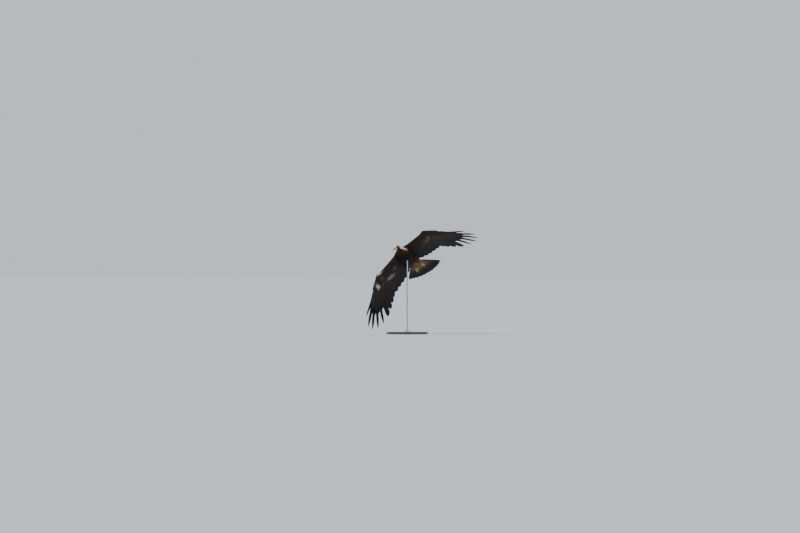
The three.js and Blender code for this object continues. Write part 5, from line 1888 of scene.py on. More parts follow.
@dataclass
class WingCoat:
    """All feathers of one wing: primaries, secondaries, alula and the coverts of both sides."""

    wing: Wing
    shape: WingShape
    secondary_count: int = 17
    long_every: int = 3
    long_extra: float = 13.0
    flight_level: float = 0.8
    # Share of the chord, length, width, spacing and lift of each row of coverts.
    bands: tuple = (
        (0.86, 68.0, 25.0, 12.0, 6.4), (0.73, 57.0, 23.0, 11.0, 6.2), (0.61, 47.0, 20.0, 9.6, 5.8),
        (0.5, 39.0, 18.0, 8.6, 5.4), (0.4, 33.0, 16.0, 7.6, 5.0), (0.31, 28.0, 14.0, 6.8, 4.6),
        (0.23, 24.0, 12.0, 6.0, 4.2), (0.16, 20.0, 10.0, 5.2, 3.6), (0.1, 17.0, 8.5, 4.6, 3.2),
        (0.055, 15.0, 7.5, 4.0, 2.9),
    )

    @property
    def side_name(self) -> str:
        """The wing's name in lower case."""
        return self.wing.name.lower()

    def draw(self, offset: int) -> np.random.Generator:
        """Returns a seeded source of small differences."""
        return np.random.default_rng((11 if self.wing is Wing.LEFT else 23) + 100 * offset)

    def primary_shades(self, along: Array, across: Array, number: Array) -> tuple:
        """Colours primaries: grey-brown with dark fingers; the underside is paler inwards."""
        inwards = 1 - number[:, None, None] / 9.0
        finger = ramp(along - 0.38, 0.16) * ramp(0.75 - inwards, 0.3)
        top = mix(Tint.GREY_BROWN, Tint.UMBER, 0.5 + 0.4 * ramp(across))
        top = mix(top, Tint.BLUE_BLACK, 0.85 * finger)
        warm = 0.26 if self.wing is Wing.LEFT else 0.1
        under = mix(Tint.GREY_BROWN, Tint.RUSSET, warm * bell(along - 0.3, 0.2))
        under = mix(under, Tint.BLUE_BLACK, 0.9 * finger)
        return top, under

    def secondary_shades(self, along: Array, across: Array, _: Array) -> tuple:
        """Colours secondaries: brown on top, greyer beneath, with the bars in the material."""
        top = mix(Tint.BROWN, Tint.GREY_BROWN, 0.5 - 0.2 * along)
        under = mix(Tint.GREY_BROWN, Tint.PALE_GREY, 0.05 - 0.04 * along)
        return top, mix(under, Tint.UMBER, 0.35 * ramp(across))

    def primaries(self) -> MeshData:
        """Returns the ten primaries, whose outer five are fingers that curl up."""
        roots, tips = primary_plan(self.shape)
        fingered = np.arange(10) >= 5
        curl = np.array([0.12] * 5 + [0.5, 0.75, 0.9, 1.0, 1.0]) * self.shape.pose.curl
        outer = np.where(fingered, 19.0, 21.0)
        inner = np.where(fingered, 44.0, 42.0)
        outer[-1], inner[-1] = 12.0, 34.0
        bend = np.where(fingered, 7.0, 3.0)
        quills = Quills(roots, tips, outer, inner, bend, curl, self.flight_level, fingered)
        return long_feathers(
            self.shape.place, quills, VaneStyle(rows=64), self.primary_shades, self.draw(0),
        )

    def secondaries(self) -> MeshData:
        """Returns the secondaries, every third a little longer, so that the edge is lobed."""
        draw = self.draw(1)
        count = self.secondary_count
        roots, tips = secondary_plan(self.shape, np.linspace(0.0, 1.0, count))
        extra = np.where(np.arange(count) % self.long_every == 0, self.long_extra, 0.0)
        extra = extra + draw.uniform(-2.5, 2.5, count)
        tips = tips + unit(tips - roots) * extra[:, None]
        quills = Quills(roots, tips, 17.0, 37.0, 2.0, -2.0, self.flight_level)
        return long_feathers(self.shape.place, quills, VaneStyle(), self.secondary_shades, draw)

    def greater(self, side: int) -> MeshData:
        """Returns the greater coverts of one side, over the flight feathers' roots."""
        draw = self.draw(2 if side > 0 else 3)
        arm = secondary_plan(self.shape, np.linspace(0.0, 1.0, self.secondary_count))
        level = 5.6 if side > 0 else -5.4
        plans = ((*arm, (118.0, 128.0), True), (*primary_plan(self.shape), (128.0, 158.0), False))
        made = []
        for roots, tips, lengths, broad in plans:
            count = len(roots)
            line = unit(tips - roots)
            reach = np.linspace(*lengths, count) * draw.uniform(0.97, 1.03, count)
            reach = reach * (1.0 if side > 0 else 0.94)
            quills = Quills(
                roots - 4.0 * line, roots + line * reach[:, None], 15.0 if broad else 11.0,
                20.0 if broad else 16.0, 1.5, -2.4 if side > 0 else 0.6, level,
            )

            def shades(along: Array, _: Array, number: Array) -> tuple:
                if side > 0:
                    top = mix(Tint.BROWN, Tint.UMBER, 0.5 * along)
                    top = mix(top, Tint.TAWNY, 0.35 * ramp(along - 0.75, 0.25))
                    return top, top
                # The right wing's pale grey patch beneath: partly greyer feather bases, partly a painted
                # sheen of sunlight.
                place = number[:, None, None] / (self.secondary_count - 1)
                patch = 0.8 * bell(place - 0.72, 0.12) if broad else 0.6 * bell(place, 0.08)
                pale = patch * (0.4 + 0.6 * along) if self.wing is Wing.RIGHT else 0.0
                under = mix(Tint.GREY_BROWN, Tint.PALE_GREY, pale + 0.05)
                if broad and self.wing is Wing.LEFT:
                    olive = 0.35 * ramp(place - 0.5, 0.4) * along
                    under = mix(under, Tint.OLIVE, olive)
                under = np.broadcast_to(under, (*along.shape, 3))
                return under, under

            style = replace(VaneStyle(), rows=22, splits=2, shaft=0.5, rise=1.5 * side, round_from=0.74)
            area = (0.02, 0.02, 0.6, 0.96) if broad else (0.64, 0.02, 0.34, 0.96)
            made.append(long_feathers(self.shape.place, quills, style, shades, draw, area))
        return MeshData.joined(made)

    def alula(self) -> MeshData:
        """Returns the three stiff feathers of the thumb, at the wrist's leading edge."""
        root = self.shape.hand_point(np.array([42.0, 34, 26]), np.array([-8.0, -5, -2]))
        tip = self.shape.hand_point(np.array([106.0, 128, 150]), np.array([-7.0, 2, 11]))
        quills = Quills(root, tip, 6.0, 13.0, 2.0, 0.0, np.array([8.6, 7.4, 6.2]))

        def shades(along: Array, *_: Array) -> tuple:
            dark = mix(Tint.BROWN, Tint.UMBER, along)
            return dark, dark

        style = replace(VaneStyle(), rows=22, splits=1, shaft=0.4, rise=1.0)
        return long_feathers(self.shape.place, quills, style, shades, self.draw(4))

    def coverts(self, side: int) -> MeshData:
        """Returns the median, lesser and marginal coverts of one side, row by row."""
        draw = self.draw(5 if side > 0 else 6)
        carrier = WingCarrier(self.shape, side)
        made = []
        fine = np.linspace(0.3, 10.0, 300)
        for number, (c, length, width, spacing, lift) in enumerate(self.bands):
            line = self.shape.spot(fine, np.full(300, c))
            way = way_along(line)
            count = int(way[-1] / spacing)
            a = np.interp((np.arange(count) + 0.5 * (number % 2) + 0.25) * spacing, way, fine)
            places = c + draw.uniform(-0.012, 0.012, count)
            shrink = 1 - 0.45 * ramp(a - 6.5, 3.5)
            style = Shape.COVERT.value if length > 44 else Shape.ROUND.value
            place = partial(carrier.carry, a, places, draw.uniform(-0.09, 0.09, count))
            lengths = length * shrink * draw.uniform(0.92, 1.08, count)
            colour = MARKINGS.wing(a, places, side, self.shape.pose.sign)
            made.append(small_feathers(Roots(
                place, carrier.patch(a, places), lengths, width * (0.7 + 0.3 * shrink),
                lift * shrink, colour,
            ), style, draw))
        return MeshData.joined(made)

    def edge(self, pelt: Pelt) -> MeshData:
        """Returns the tiny feathers that wrap the leading edge, grown on the skin there."""
        draw = self.draw(7)
        shape = self.shape
        fine = np.linspace(0.2, 9.9, 160)
        at = shape.spot(fine, 0.03 + 0 * fine)
        turn = shape.lie(fine)
        ahead = at + 5.0 * stack(np.sin(turn), -np.cos(turn))
        line = shape.place(*at.T, 0.0)
        lie = unit(shape.place(*ahead.T, 0.0) - line)

        def station(points: Array) -> tuple[Array, Array]:
            gaps = norm(points[:, None] - line[None])
            return np.argmin(gaps, axis=1), np.min(gaps, axis=1)

        def wanted(points: Array) -> Array:
            found = np.zeros(len(points), bool)
            out = points[:, 1] * shape.pose.sign
            near = np.flatnonzero((out > 58) & (points[:, 0] > -60))
            found[near] = station(points[near])[1] < 11.0
            return found

        root, normal = pelt.scatter(wanted, lambda points: np.full(len(points), 3.9), draw)
        number, _ = station(root)
        length, width = draw.uniform(12.0, 15.0, len(root)), np.full(len(root), 7.4)
        rise = np.clip((root[:, 2:] - line[number][:, 2:]) / 5.0, -1.0, 1.0)
        outwards = unit(np.gradient(line, axis=0))[number]
        flow = 0.6 * lie[number] + outwards + rise * [0.0, 0.0, 0.35] + draw.normal(0.0, 0.06, root.shape)
        share = fine[number] / 10.0
        patch = stack(0.02 + 0.96 * share, 0.5 + 0.04 * normal[:, 2] * 10)
        # The edge coverts take the underside's leading-edge colour, its painted rim light included.
        colour = MARKINGS.wing(10 * share, 0 * share, -1, shape.pose.sign)
        place = pelt.placer(root, normal, flow, length, width)
        style = replace(Shape.ROUND.value, sink=0.4, root_share=0.6)
        return small_feathers(Roots(place, patch, length, width, 1.7, colour), style, draw)

    def build(self, finishes: "Finishes", pelt: Pelt) -> None:
        """Shows every feather group of the wing."""
        name = self.side_name
        plans = [
            (f"primaries_{name}", self.primaries(), finishes.flight),
            (f"secondaries_{name}", self.secondaries(), finishes.flight),
            (f"greater_upper_coverts_{name}", self.greater(1), finishes.greater),
            (f"upper_coverts_{name}", self.coverts(1), finishes.wing),
            (f"greater_under_coverts_{name}", self.greater(-1), finishes.greater),
            (f"under_coverts_{name}", self.coverts(-1), finishes.wing),
            (f"edge_coverts_{name}", self.edge(pelt), finishes.wing),
            (f"alula_{name}", self.alula(), finishes.greater),
        ]
        for piece, data, material in plans:
            feather_piece(Piece(piece, "wing_feathers"), data, material)


@dataclass
class Finishes:
    """Materials that several pieces share."""

    body: Material
    gold: Material
    face: Material
    wing: Material
    greater: Material
    flight: Material
    tail: Material
    leg: Material

    @staticmethod
    def made() -> "Finishes":
        """Builds the materials of all feathers."""
        detail, bars = barb_group(), bar_group()
        return Finishes(
            body=FeatherFinish("body_feathers", rim=0.45, tip=0.3).material(detail),
            gold=FeatherFinish("hackles", rim=0.3, tip=0.35, shaft=0.1, clumps=700).material(detail),
            face=FeatherFinish("face_feathers", rim=0.2, tip=0.2, clumps=900).material(detail),
            wing=FeatherFinish("wing_coverts", rim=0.5, tip=0.25).material(detail),
            greater=FeatherFinish(
                "greater_coverts", rim=0.35, tip=0.1, clumps=200, tone=0.3,
            ).material(detail),
            flight=FlightFinish("flight_feathers").material(detail, bars),
            tail=FlightFinish("tail_feathers", band=0.52, bars=0.5).material(detail, bars),
            leg=FeatherFinish("leg_feathers", rim=0.25, tip=0.2, clumps=600).material(detail),
        )


@dataclass
class BodyCoat:
    """Small feathers of head, neck, torso, legs and tail root, grown on the finished skin.

    Spacing, length, width and lift of a feather go by its distance from the head's centre,
    from tiny on the face to broad on the rump.
    """

    body: BodyShape
    tail: Tail
    pelt: Pelt
    seed: int = 71
    away: tuple[float, ...] = (0, 30, 42, 58, 90, 130, 200, 320)
    spacing: tuple[float, ...] = (1.9, 2.3, 3.4, 4.8, 6.6, 8.4, 10.2, 12.2)
    length: tuple[float, ...] = (6.5, 8.0, 15, 25, 34, 38, 44, 50)
    width: tuple[float, ...] = (2.3, 2.9, 5.2, 8.0, 12, 17, 22, 26)
    lift: tuple[float, ...] = (1.2, 1.7, 3.2, 5.4, 7.0, 8.0, 8.5, 8.5)
    wing_cut: float = 78.0
    nose_cut: float = 72.0
    rump: float = -304.0

    @property
    def back_line(self) -> tuple[Array, Array]:
        """The torso's middle line, which its unwrap goes round."""
        return np.array([60.0, 0, -20]), np.array([-310.0, 0, -20])

    def by_distance(self, points: Array, values: tuple[float, ...]) -> Array:
        """Reads a size at each point's distance from the head's centre."""
        return np.interp(norm(HEAD.from_bird(points)), self.away, values)

    def neck_share(self, points: Array) -> Array:
        """Returns the share of the way down the neck's line."""
        start, axis, length = MARKINGS.neck_axis()
        return ((points - start) @ axis) / length

    def is_head(self, points: Array) -> Array:
        """Tells which points of the skin belong to the head."""
        local = HEAD.from_bird(points)
        return np.sum((local / np.array([46.0, 31.0, 33.0])) ** 2, axis=-1) < 1

    def is_leg(self, points: Array, side: int) -> Array:
        """Tells which points of the skin belong to one leg."""
        near = np.zeros(points.shape[:-1], bool)
        for stations in (self.body.thigh_stations, self.body.tarsus_stations):
            table = np.array(stations, float) * np.array([1.0, side, 1.0, 1.0])
            near |= inside_tube(points, table + np.array([0.0, 0.0, 0.0, 2.0]))
        return near & ~inside_torso(points, np.array(self.body.torso_stations, float), 6.0)

    def is_wing(self, points: Array) -> Array:
        """Tells which points of the skin belong to the wings."""
        x, y, z = split(points)
        out = np.abs(y)
        middle = -(out - 62.0) * 0.36
        root = (out > 66) & (np.abs(z - middle) < 15) & (x > -106) & (x < 52)
        cut = np.where(x > 18, self.nose_cut, self.wing_cut)
        return (out > 94) | (root & (out > cut))

    def clear(self, points: Array) -> Array:
        """Tells which points keep clear of bill, eyes, the mouth's line and the rod."""
        local = HEAD.from_bird(points)
        x, y, z = local[..., 0], np.abs(local[..., 1]), local[..., 2]
        eye = np.hypot(x - EYE_CENTRE[0], z - EYE_CENTRE[2]) > LID_REACH
        bill = ~((x > 36.5) & (np.abs(z) < 15.5) & (y < 14.0))
        mouth = (np.abs(z + 6.4 + 0.19 * (32 - x)) < 2.6) & (x > 19) & (y > 8)
        row = ATTITUDE.to_row(points) / MM
        rod = (np.hypot(row[..., 0], row[..., 1]) < 9.0) & (row[..., 2] < 950)
        face = (eye | (y < 9)) & bill & ~mouth & (x < 41)
        return (face | (norm(local) > 60)) & ~rod

    def flow(self, points: Array) -> Array:
        """Returns the lie of the coat.

        On the head it goes away from the bill and round the eye, then down the neck's line,
        and then back along the body.
        """
        local = HEAD.from_bird(points)
        away = norm(local)
        eye = stack(local[..., 0] - EYE_CENTRE[0], 0 * away, local[..., 2] - EYE_CENTRE[2])
        apart = norm(eye)
        push = (bell(apart - 9.0, 5.0) * ramp(np.abs(local[..., 1]) - 8, 8))[..., None]
        head = unit(np.array([-1.0, 0.0, -0.05]) + 0.9 * push * unit(eye)) @ HEAD.axes()
        _, axis, _ = MARKINGS.neck_axis()
        way = mix(head, axis, ramp(away - 32, 26))
        outwards = 0.22 * np.sign(points[..., 1]) * bell(points[..., 0] - 20, 50)
        back = stack(-np.ones(len(points)), outwards, 0 * away)
        return mix(way, back, ramp(away - 85, 60))

    def grow(
        self, wanted: Rule, shape: "Shape", offset: int, line: tuple[Array, Array],
        sizes: tuple[float, float, float, float] | None = None, shade: Rule = MARKINGS.body,
    ) -> MeshData:
        """Grows the feathers of one part of the skin.

        Args:
            wanted: Tells which points of the skin belong to the part.
            shape: Form of its feathers.
            offset: Added to the seed.
            line: Start and end of the line that its unwrap goes round.
            sizes: Spacing, length, width and lift, where they don't go by the distance.
            shade: Gives the colour at each root.

        Returns:
            The feathers.
        """
        draw = np.random.default_rng(self.seed + offset)
        tables = (self.spacing, self.length, self.width, self.lift)

        def size(points: Array, number: int) -> Array:
            if sizes is None:
                return self.by_distance(points, tables[number])
            return np.full(len(points), float(sizes[number]))

        root, normal = self.pelt.scatter(
            lambda points: wanted(points) & self.clear(points), lambda points: size(points, 0), draw,
        )
        length = size(root, 1) * draw.uniform(0.86, 1.14, len(root))
        width, lift = size(root, 2), size(root, 3)
        flow = self.flow(root) + draw.normal(0.0, 0.07, root.shape)
        rest = norm(flow - np.sum(flow * normal, axis=-1, keepdims=True) * normal)
        length = length * (0.5 + 0.5 * ramp(rest - 0.1, 0.4))
        place = self.pelt.placer(root, normal, flow, length, width)
        ends = place(length[:, None], 0 * length[:, None], lift[:, None])[:, 0]
        flat = np.flatnonzero(self.pelt.over(ends) < 1.2 * lift + 2.0)
        root, normal, flow, length, width, lift = (
            values[flat] for values in (root, normal, flow, length, width, lift)
        )
        place = self.pelt.placer(root, normal, flow, length, width)
        patch = around_line(root, *line)
        return small_feathers(Roots(place, patch, length, width, lift, shade(root)), shape.value, draw)

    def dark(self, points: Array) -> Array:
        """Returns the near black of the bristles."""
        return np.tile(Tint.DEEP.light, (len(points), 1))

    def head_feathers(self) -> MeshData:
        """Returns the head's feathers: slim on the face, pointed on crown and nape."""
        line = (HEAD.to_bird(np.array([-50.0, 0, 0])), HEAD.to_bird(np.array([45.0, 0, 0])))

        def front(points: Array) -> Array:
            local = HEAD.from_bird(points)
            return self.is_head(points) & (local[..., 0] > -4 + 12 * (local[..., 2] > 8))

        def lore(points: Array) -> Array:
            local = HEAD.from_bird(points)
            near = np.hypot(local[..., 0] - 31.0, local[..., 2] - 1.0) < 7.5
            return near & (np.abs(local[..., 1]) > 7)

        made = [
            self.grow(front, Shape.SLIM, 0, line),
            self.grow(lambda points: self.is_head(points) & ~front(points), Shape.LANCE, 1, line),
            self.grow(lore, Shape.BRISTLE, 2, line, (1.7, 7.5, 0.8, 2.6), self.dark),
        ]
        return MeshData.joined(made)

    def hackles(self) -> MeshData:
        """Returns the pointed feathers of nape and neck."""
        start, _, _ = MARKINGS.neck_axis()
        return self.grow(
            lambda points: ~self.is_head(points) & (self.neck_share(points) < 1.0) & ~self.is_wing(points),
            Shape.LANCE, 3, (start, np.array(MARKINGS.neck_root)),
        )

    def torso_feathers(self, upper: bool) -> MeshData:
        """Returns the torso's feathers above or below the wings."""
        def wanted(points: Array) -> Array:
            x, y, z = split(points)
            middle = -8.0 - np.maximum(np.abs(y) - 62.0, 0.0) * 0.36
            part = (z > middle) == upper
            plain = (x > self.rump) & (self.neck_share(points) >= 1.0) & ~self.is_wing(points)
            leg = self.is_leg(points, 1) | self.is_leg(points, -1)
            return part & plain & ~leg & ~self.is_head(points)

        return self.grow(wanted, Shape.ROUND if upper else Shape.SOFT, 4 + upper, self.back_line)

    def scapulars(self) -> MeshData:
        """Returns the long feathers that lie over the joint of wings and back, in rows."""
        draw = np.random.default_rng(self.seed + 6)
        surface = self.body.torso()
        made = []
        for side in (1, -1):
            rows, columns = 7, 9
            row, column = np.divmod(np.arange(rows * columns), columns)
            u = 1.75 + 0.36 * row + draw.uniform(-0.06, 0.06, rows * columns)
            angle = np.radians(16.0 + 4.8 * (column + 0.5 * (row % 2)))
            above = surface.point(u, angle if side > 0 else math.pi - angle) + [0.0, 0.0, 34.0]
            root, normal = self.pelt.nearest(above)
            outwards = 0.06 + 0.2 * (1 - column / (columns - 1))
            flow = stack(-np.ones(len(u)), side * outwards, 0 * u)
            length, width = (48.0 + 8.0 * row) * draw.uniform(0.92, 1.08, len(u)), 23.0 + 1.5 * row
            colour = mix(MARKINGS.torso(root), Tint.BROWN, 0.5)
            place = self.pelt.placer(root, normal, flow, length, width)
            roots = Roots(place, around_line(root, *self.back_line), length, width, 10.0, colour)
            made.append(small_feathers(roots, replace(Shape.COVERT.value, sink=-3.0), draw))
        return MeshData.joined(made)

    def leg_feathers(self, side: int) -> MeshData:
        """Returns the feathers of one thigh and tarsus."""
        line = (np.array([-140.0, 44 * side, -72]), np.array([-350.0, 44 * side, -84]))

        def thigh(points: Array) -> Array:
            return self.is_leg(points, side) & (points[..., 0] > -262)

        def tarsus(points: Array) -> Array:
            return self.is_leg(points, side) & (points[..., 0] <= -258) & (points[..., 0] > -338)

        return MeshData.joined([
            self.grow(thigh, Shape.SOFT, 7 + side, line, (6.0, 33.0, 12.0, 7.0), MARKINGS.leg),
            self.grow(tarsus, Shape.SOFT, 17 + side, line, (3.3, 13.0, 6.0, 2.8), MARKINGS.leg),
        ])

    def tail_coverts(self, side: int) -> MeshData:
        """Returns the coverts over or under the tail's root, row by row."""
        draw = np.random.default_rng(self.seed + 29 + side)
        carrier = TailCarrier(self.tail, side)
        reach = np.arange(-34, 51, 12) if side > 0 else np.arange(-40, 69, 12)
        made = []
        for number, back in enumerate(reach):
            part = number / (len(reach) - 1)
            half = 44.0 - 6.0 * part
            count = 9 if number % 2 else 8
            left = np.linspace(-half, half, count) + draw.uniform(-1.5, 1.5, count)
            length = (56.0 + 44.0 * part) if side > 0 else (58.0 + 62.0 * part)
            tint = mix(Tint.BROWN, Tint.UMBER, 0.4)
            if side < 0:
                tint = mix(Tint.OLIVE, Tint.ROSE_GREY, 0.5 * part)
            u, heading = np.full(count, float(back)), np.arctan2(left, 115.0) * (0.5 + 0.5 * part)
            lengths = length * draw.uniform(0.9, 1.1, count)
            made.append(small_feathers(Roots(
                partial(carrier.carry, u, left, heading), carrier.patch(u, left), lengths, 23.0, 6.0,
                np.tile(tint, (count, 1)),
            ), Shape.COVERT.value, draw))
        return MeshData.joined(made)

    def build(self, finishes: "Finishes") -> None:
        """Shows every coat piece of the body."""
        dark, gold, leg, fan = "plumage_dark", "plumage_gold", "plumage_leg", "tail_feathers"
        plans = [
            ("head_feathers", gold, self.head_feathers(), finishes.face),
            ("neck_hackles", gold, self.hackles(), finishes.gold),
            ("back_feathers", dark, self.torso_feathers(True), finishes.body),
            ("breast_feathers", dark, self.torso_feathers(False), finishes.body),
            ("scapulars", dark, self.scapulars(), finishes.body),
            ("leg_feathers_left", leg, self.leg_feathers(1), finishes.leg),
            ("leg_feathers_right", leg, self.leg_feathers(-1), finishes.leg),
            ("upper_tail_coverts", fan, self.tail_coverts(1), finishes.body),
            ("under_tail_coverts", leg, self.tail_coverts(-1), finishes.leg),
            ("tail_fan", fan, self.tail.feathers(), finishes.tail),
        ]
        for name, slot, data, material in plans:
            feather_piece(Piece(name, slot), data, material)


def inside_torso(points: Array, stations: Array, inset: float) -> Array:
    """Tells which points lie in the torso's ovals, made smaller by an inset."""
    x = points[..., 0]
    order = np.argsort(stations[:, 0])
    width, height, middle = (np.interp(x, stations[order, 0], stations[order, k]) for k in (1, 2, 3))
    oval = (points[..., 1] / (width - inset)) ** 2 + ((points[..., 2] - middle) / (height - inset)) ** 2
    return (oval < 1) & (x < stations[:, 0].max()) & (x > stations[:, 0].min())


def show_closed(
    piece: Piece, points: Array, quads: Array, material: Material, pit: Array | None = None,
    shape: Array | None = None,
) -> None:
    """Shows a closed mesh of the bird's frame as a piece.

    Args:
        piece: Its name, slot and solids.
        points: Its points.
        quads: Four corner numbers for each face.
        material: Its material.
        pit: How dark each point is painted, as shade deep in a nostril, where any is.
        shape: Way along and turn round of each point, for a material that reads them.
    """
    mesh = new_mesh(piece.name, ATTITUDE.to_row(points), outward(points, quads))
    if shape is not None:
        used = np.empty(len(mesh.loops), np.int32)
        mesh.loops.foreach_get("vertex_index", used)
        add_uv(mesh, "shape", shape[used])
    add_value(mesh, "pit", np.zeros(len(points)) if pit is None else pit)
    piece.show(mesh, material)


def show_rings(
    points: Array, piece: Piece, material: Material, pit: Array | None = None, turned: bool = True,
) -> None:
    """Closes rings of points and shows them, with a map of way along and turn round.

    Args:
        points: Rings by sides by three, in the bird's frame.
        piece: The piece's name, slot and solids.
        material: Its material.
        pit: How dark each point is painted, as shade deep in a nostril, where any is.
        turned: Whether the map tells the turn.
    """
    rings, sides = points.shape[:2]
    way = np.append(np.repeat(np.linspace(0.0, 1.0, rings), sides), [0.0, 1.0])
    turn = np.append(np.tile(np.arange(sides) / sides, rings), [0.5, 0.5]) * turned
    flat, quads = closed_rings(points)
    pit = None if pit is None else np.append(pit.ravel(), [0.0, 0.0])
    show_closed(piece, flat, quads, material, pit, stack(way, turn))


@dataclass
class Bill:
    """The bill: a hooked upper half with its cere, a lower half and the corners of the mouth."""

    spine: tuple = (
        (36, 5.2, 0, 9.9, 12.6), (46, 4.6, 6, 9.7, 11.2), (56, 2.8, 14, 8.9, 9.4), (65, -0.8, 30, 7.3, 7.3),
        (72, -6.4, 50, 5.3, 5.2), (76.5, -13, 68, 3.3, 3.2), (78.6, -20.5, 80, 0.9, 0.9),
    )
    lower: tuple = (
        (34, 11.4, -2, -16), (48, 9.2, -3, -15.5), (58, 6.8, -5, -14.8), (65, 4.2, -7, -13.8),
        (69, 1.8, -9, -12.6),
    )
    corner: tuple = (
        (46.0, 10.4, -3.8, 0.9), (39.0, 13.0, -5.0, 1.3), (32.0, 18.0, -6.4, 1.7),
        (26.0, 21.6, -7.6, 1.7), (20.5, 24.4, -8.6, 0.8),
    )
    cere_end: float = 1.32
    nostril: tuple[float, float, float] = (43.5, 11.2, 6.5)

    def upper_point(self, u: Array, v: Array, grow: float) -> Array:
        """Returns points of the upper half.

        Across the bill the section is an oval whose ridge is narrowed by a fifth of the sine
        and whose lower edge is flattened, set square to the spine's downward turn.
        """
        x, z, turn, height, width = split(blend_rows(np.array(self.spine, float), u))
        turn = np.radians(turn)
        rise = np.sin(v)
        narrow = 1 - 0.22 * np.maximum(rise, 0.0)
        side = (width + grow) * np.cos(v) * narrow
        high = (height + grow) * np.where(rise > 0, rise, -0.94 * np.abs(rise) ** 0.62)
        return stack(x + high * np.sin(turn), side, z + high * np.cos(turn))

    def build(self, horn: Material, wax: Material, pelt: Pelt) -> None:
        """Builds the cere with its nostrils, both halves of the bill and the mouth corners."""
        u, v = ring_grid(0.0, self.cere_end, 70, 180)
        cere = self.upper_point(u, v, 0.0)
        swell = 0.55 * ramp((u / self.cere_end) * 4) * ramp((1 - u / self.cere_end) * 9)
        cere = cere + unit(cere - cere.mean(axis=1, keepdims=True)) * swell[..., None]
        pit = np.zeros(u.shape)
        for side in (1, -1):
            centre = both_sides(np.array(self.nostril), side)
            away = cere - centre
            tilt = math.radians(58)
            down = away[..., 0] * math.cos(tilt) + away[..., 2] * math.sin(tilt)
            over = -away[..., 0] * math.sin(tilt) + away[..., 2] * math.cos(tilt)
            near = (np.abs(away[..., 1]) < 5) * 1.0
            slot = np.exp(-((down / 3.3) ** 4) - (over / 1.5) ** 4) * near
            rim = np.exp(-((down / 4.6) ** 4) - (over / 2.7) ** 4) * near
            cere[..., 1] -= side * (2.6 * slot - 0.5 * (rim - slot))
            # pit carries painted shade: the wax finish darkens the nostril slot near black, as the shade
            # inside the hole.
            pit = np.maximum(pit, slot)
        show_rings(HEAD.to_bird(cere), Piece("cere_wax", "cere_skin", ("cere",)), wax, pit)
        u, v = ring_grid(self.cere_end - 0.06, 6.0, 110, 96)
        hook = HEAD.to_bird(self.upper_point(u, v, -0.25))
        show_rings(hook, Piece("bill_hook", "horn", ("bill_upper",)), horn)
        u, v = ring_grid(0.0, 4.0, 50, 64)
        x, width, top, bottom = split(blend_rows(np.array(self.lower, float), u))
        rise = np.sin(v)
        high = (top - bottom) / 2
        point = stack(
            x, width * np.sign(np.cos(v)) * np.abs(np.cos(v)) ** 0.8,
            (top + bottom) / 2 + high * np.sign(rise) * np.abs(rise) ** 0.8,
        )
        show_rings(HEAD.to_bird(point), Piece("bill_jaw", "horn", ("bill_lower",)), horn)
        self.mouth(wax, pelt)

    def mouth(self, wax: Material, pelt: Pelt) -> None:
        """Builds the yellow corner of the mouth on each side, a slim band that lies on the skin."""
        for side, word in SIDES:
            fine = blend_rows(np.array(self.corner), np.linspace(0.0, 4.0, 40))
            middle = both_sides(fine[:, :3], side)
            on_skin, _ = pelt.nearest(HEAD.to_bird(middle))
            fade = ramp(42.0 - fine[:, 0], 7.0)[:, None]
            middle = middle * (1 - fade) + HEAD.from_bird(on_skin) * fade
            middle[:, 1] += side * 1.3 * fade[:, 0]
            v = turns(20)[None, :]
            thick = fine[:, 3:4]
            groove = 0.3 * bell(np.sin(v), 0.22) * (np.cos(v) > 0)
            bulge = thick * (1 - groove)
            point = stack(
                middle[:, :1] + 0.4 * bulge * np.cos(v), middle[:, 1:2] + side * bulge * np.cos(v),
                middle[:, 2:3] + bulge * np.sin(v) * 0.9)
            show_rings(HEAD.to_bird(point), Piece(f"mouth_corner_{word}", "cere_skin"), wax)


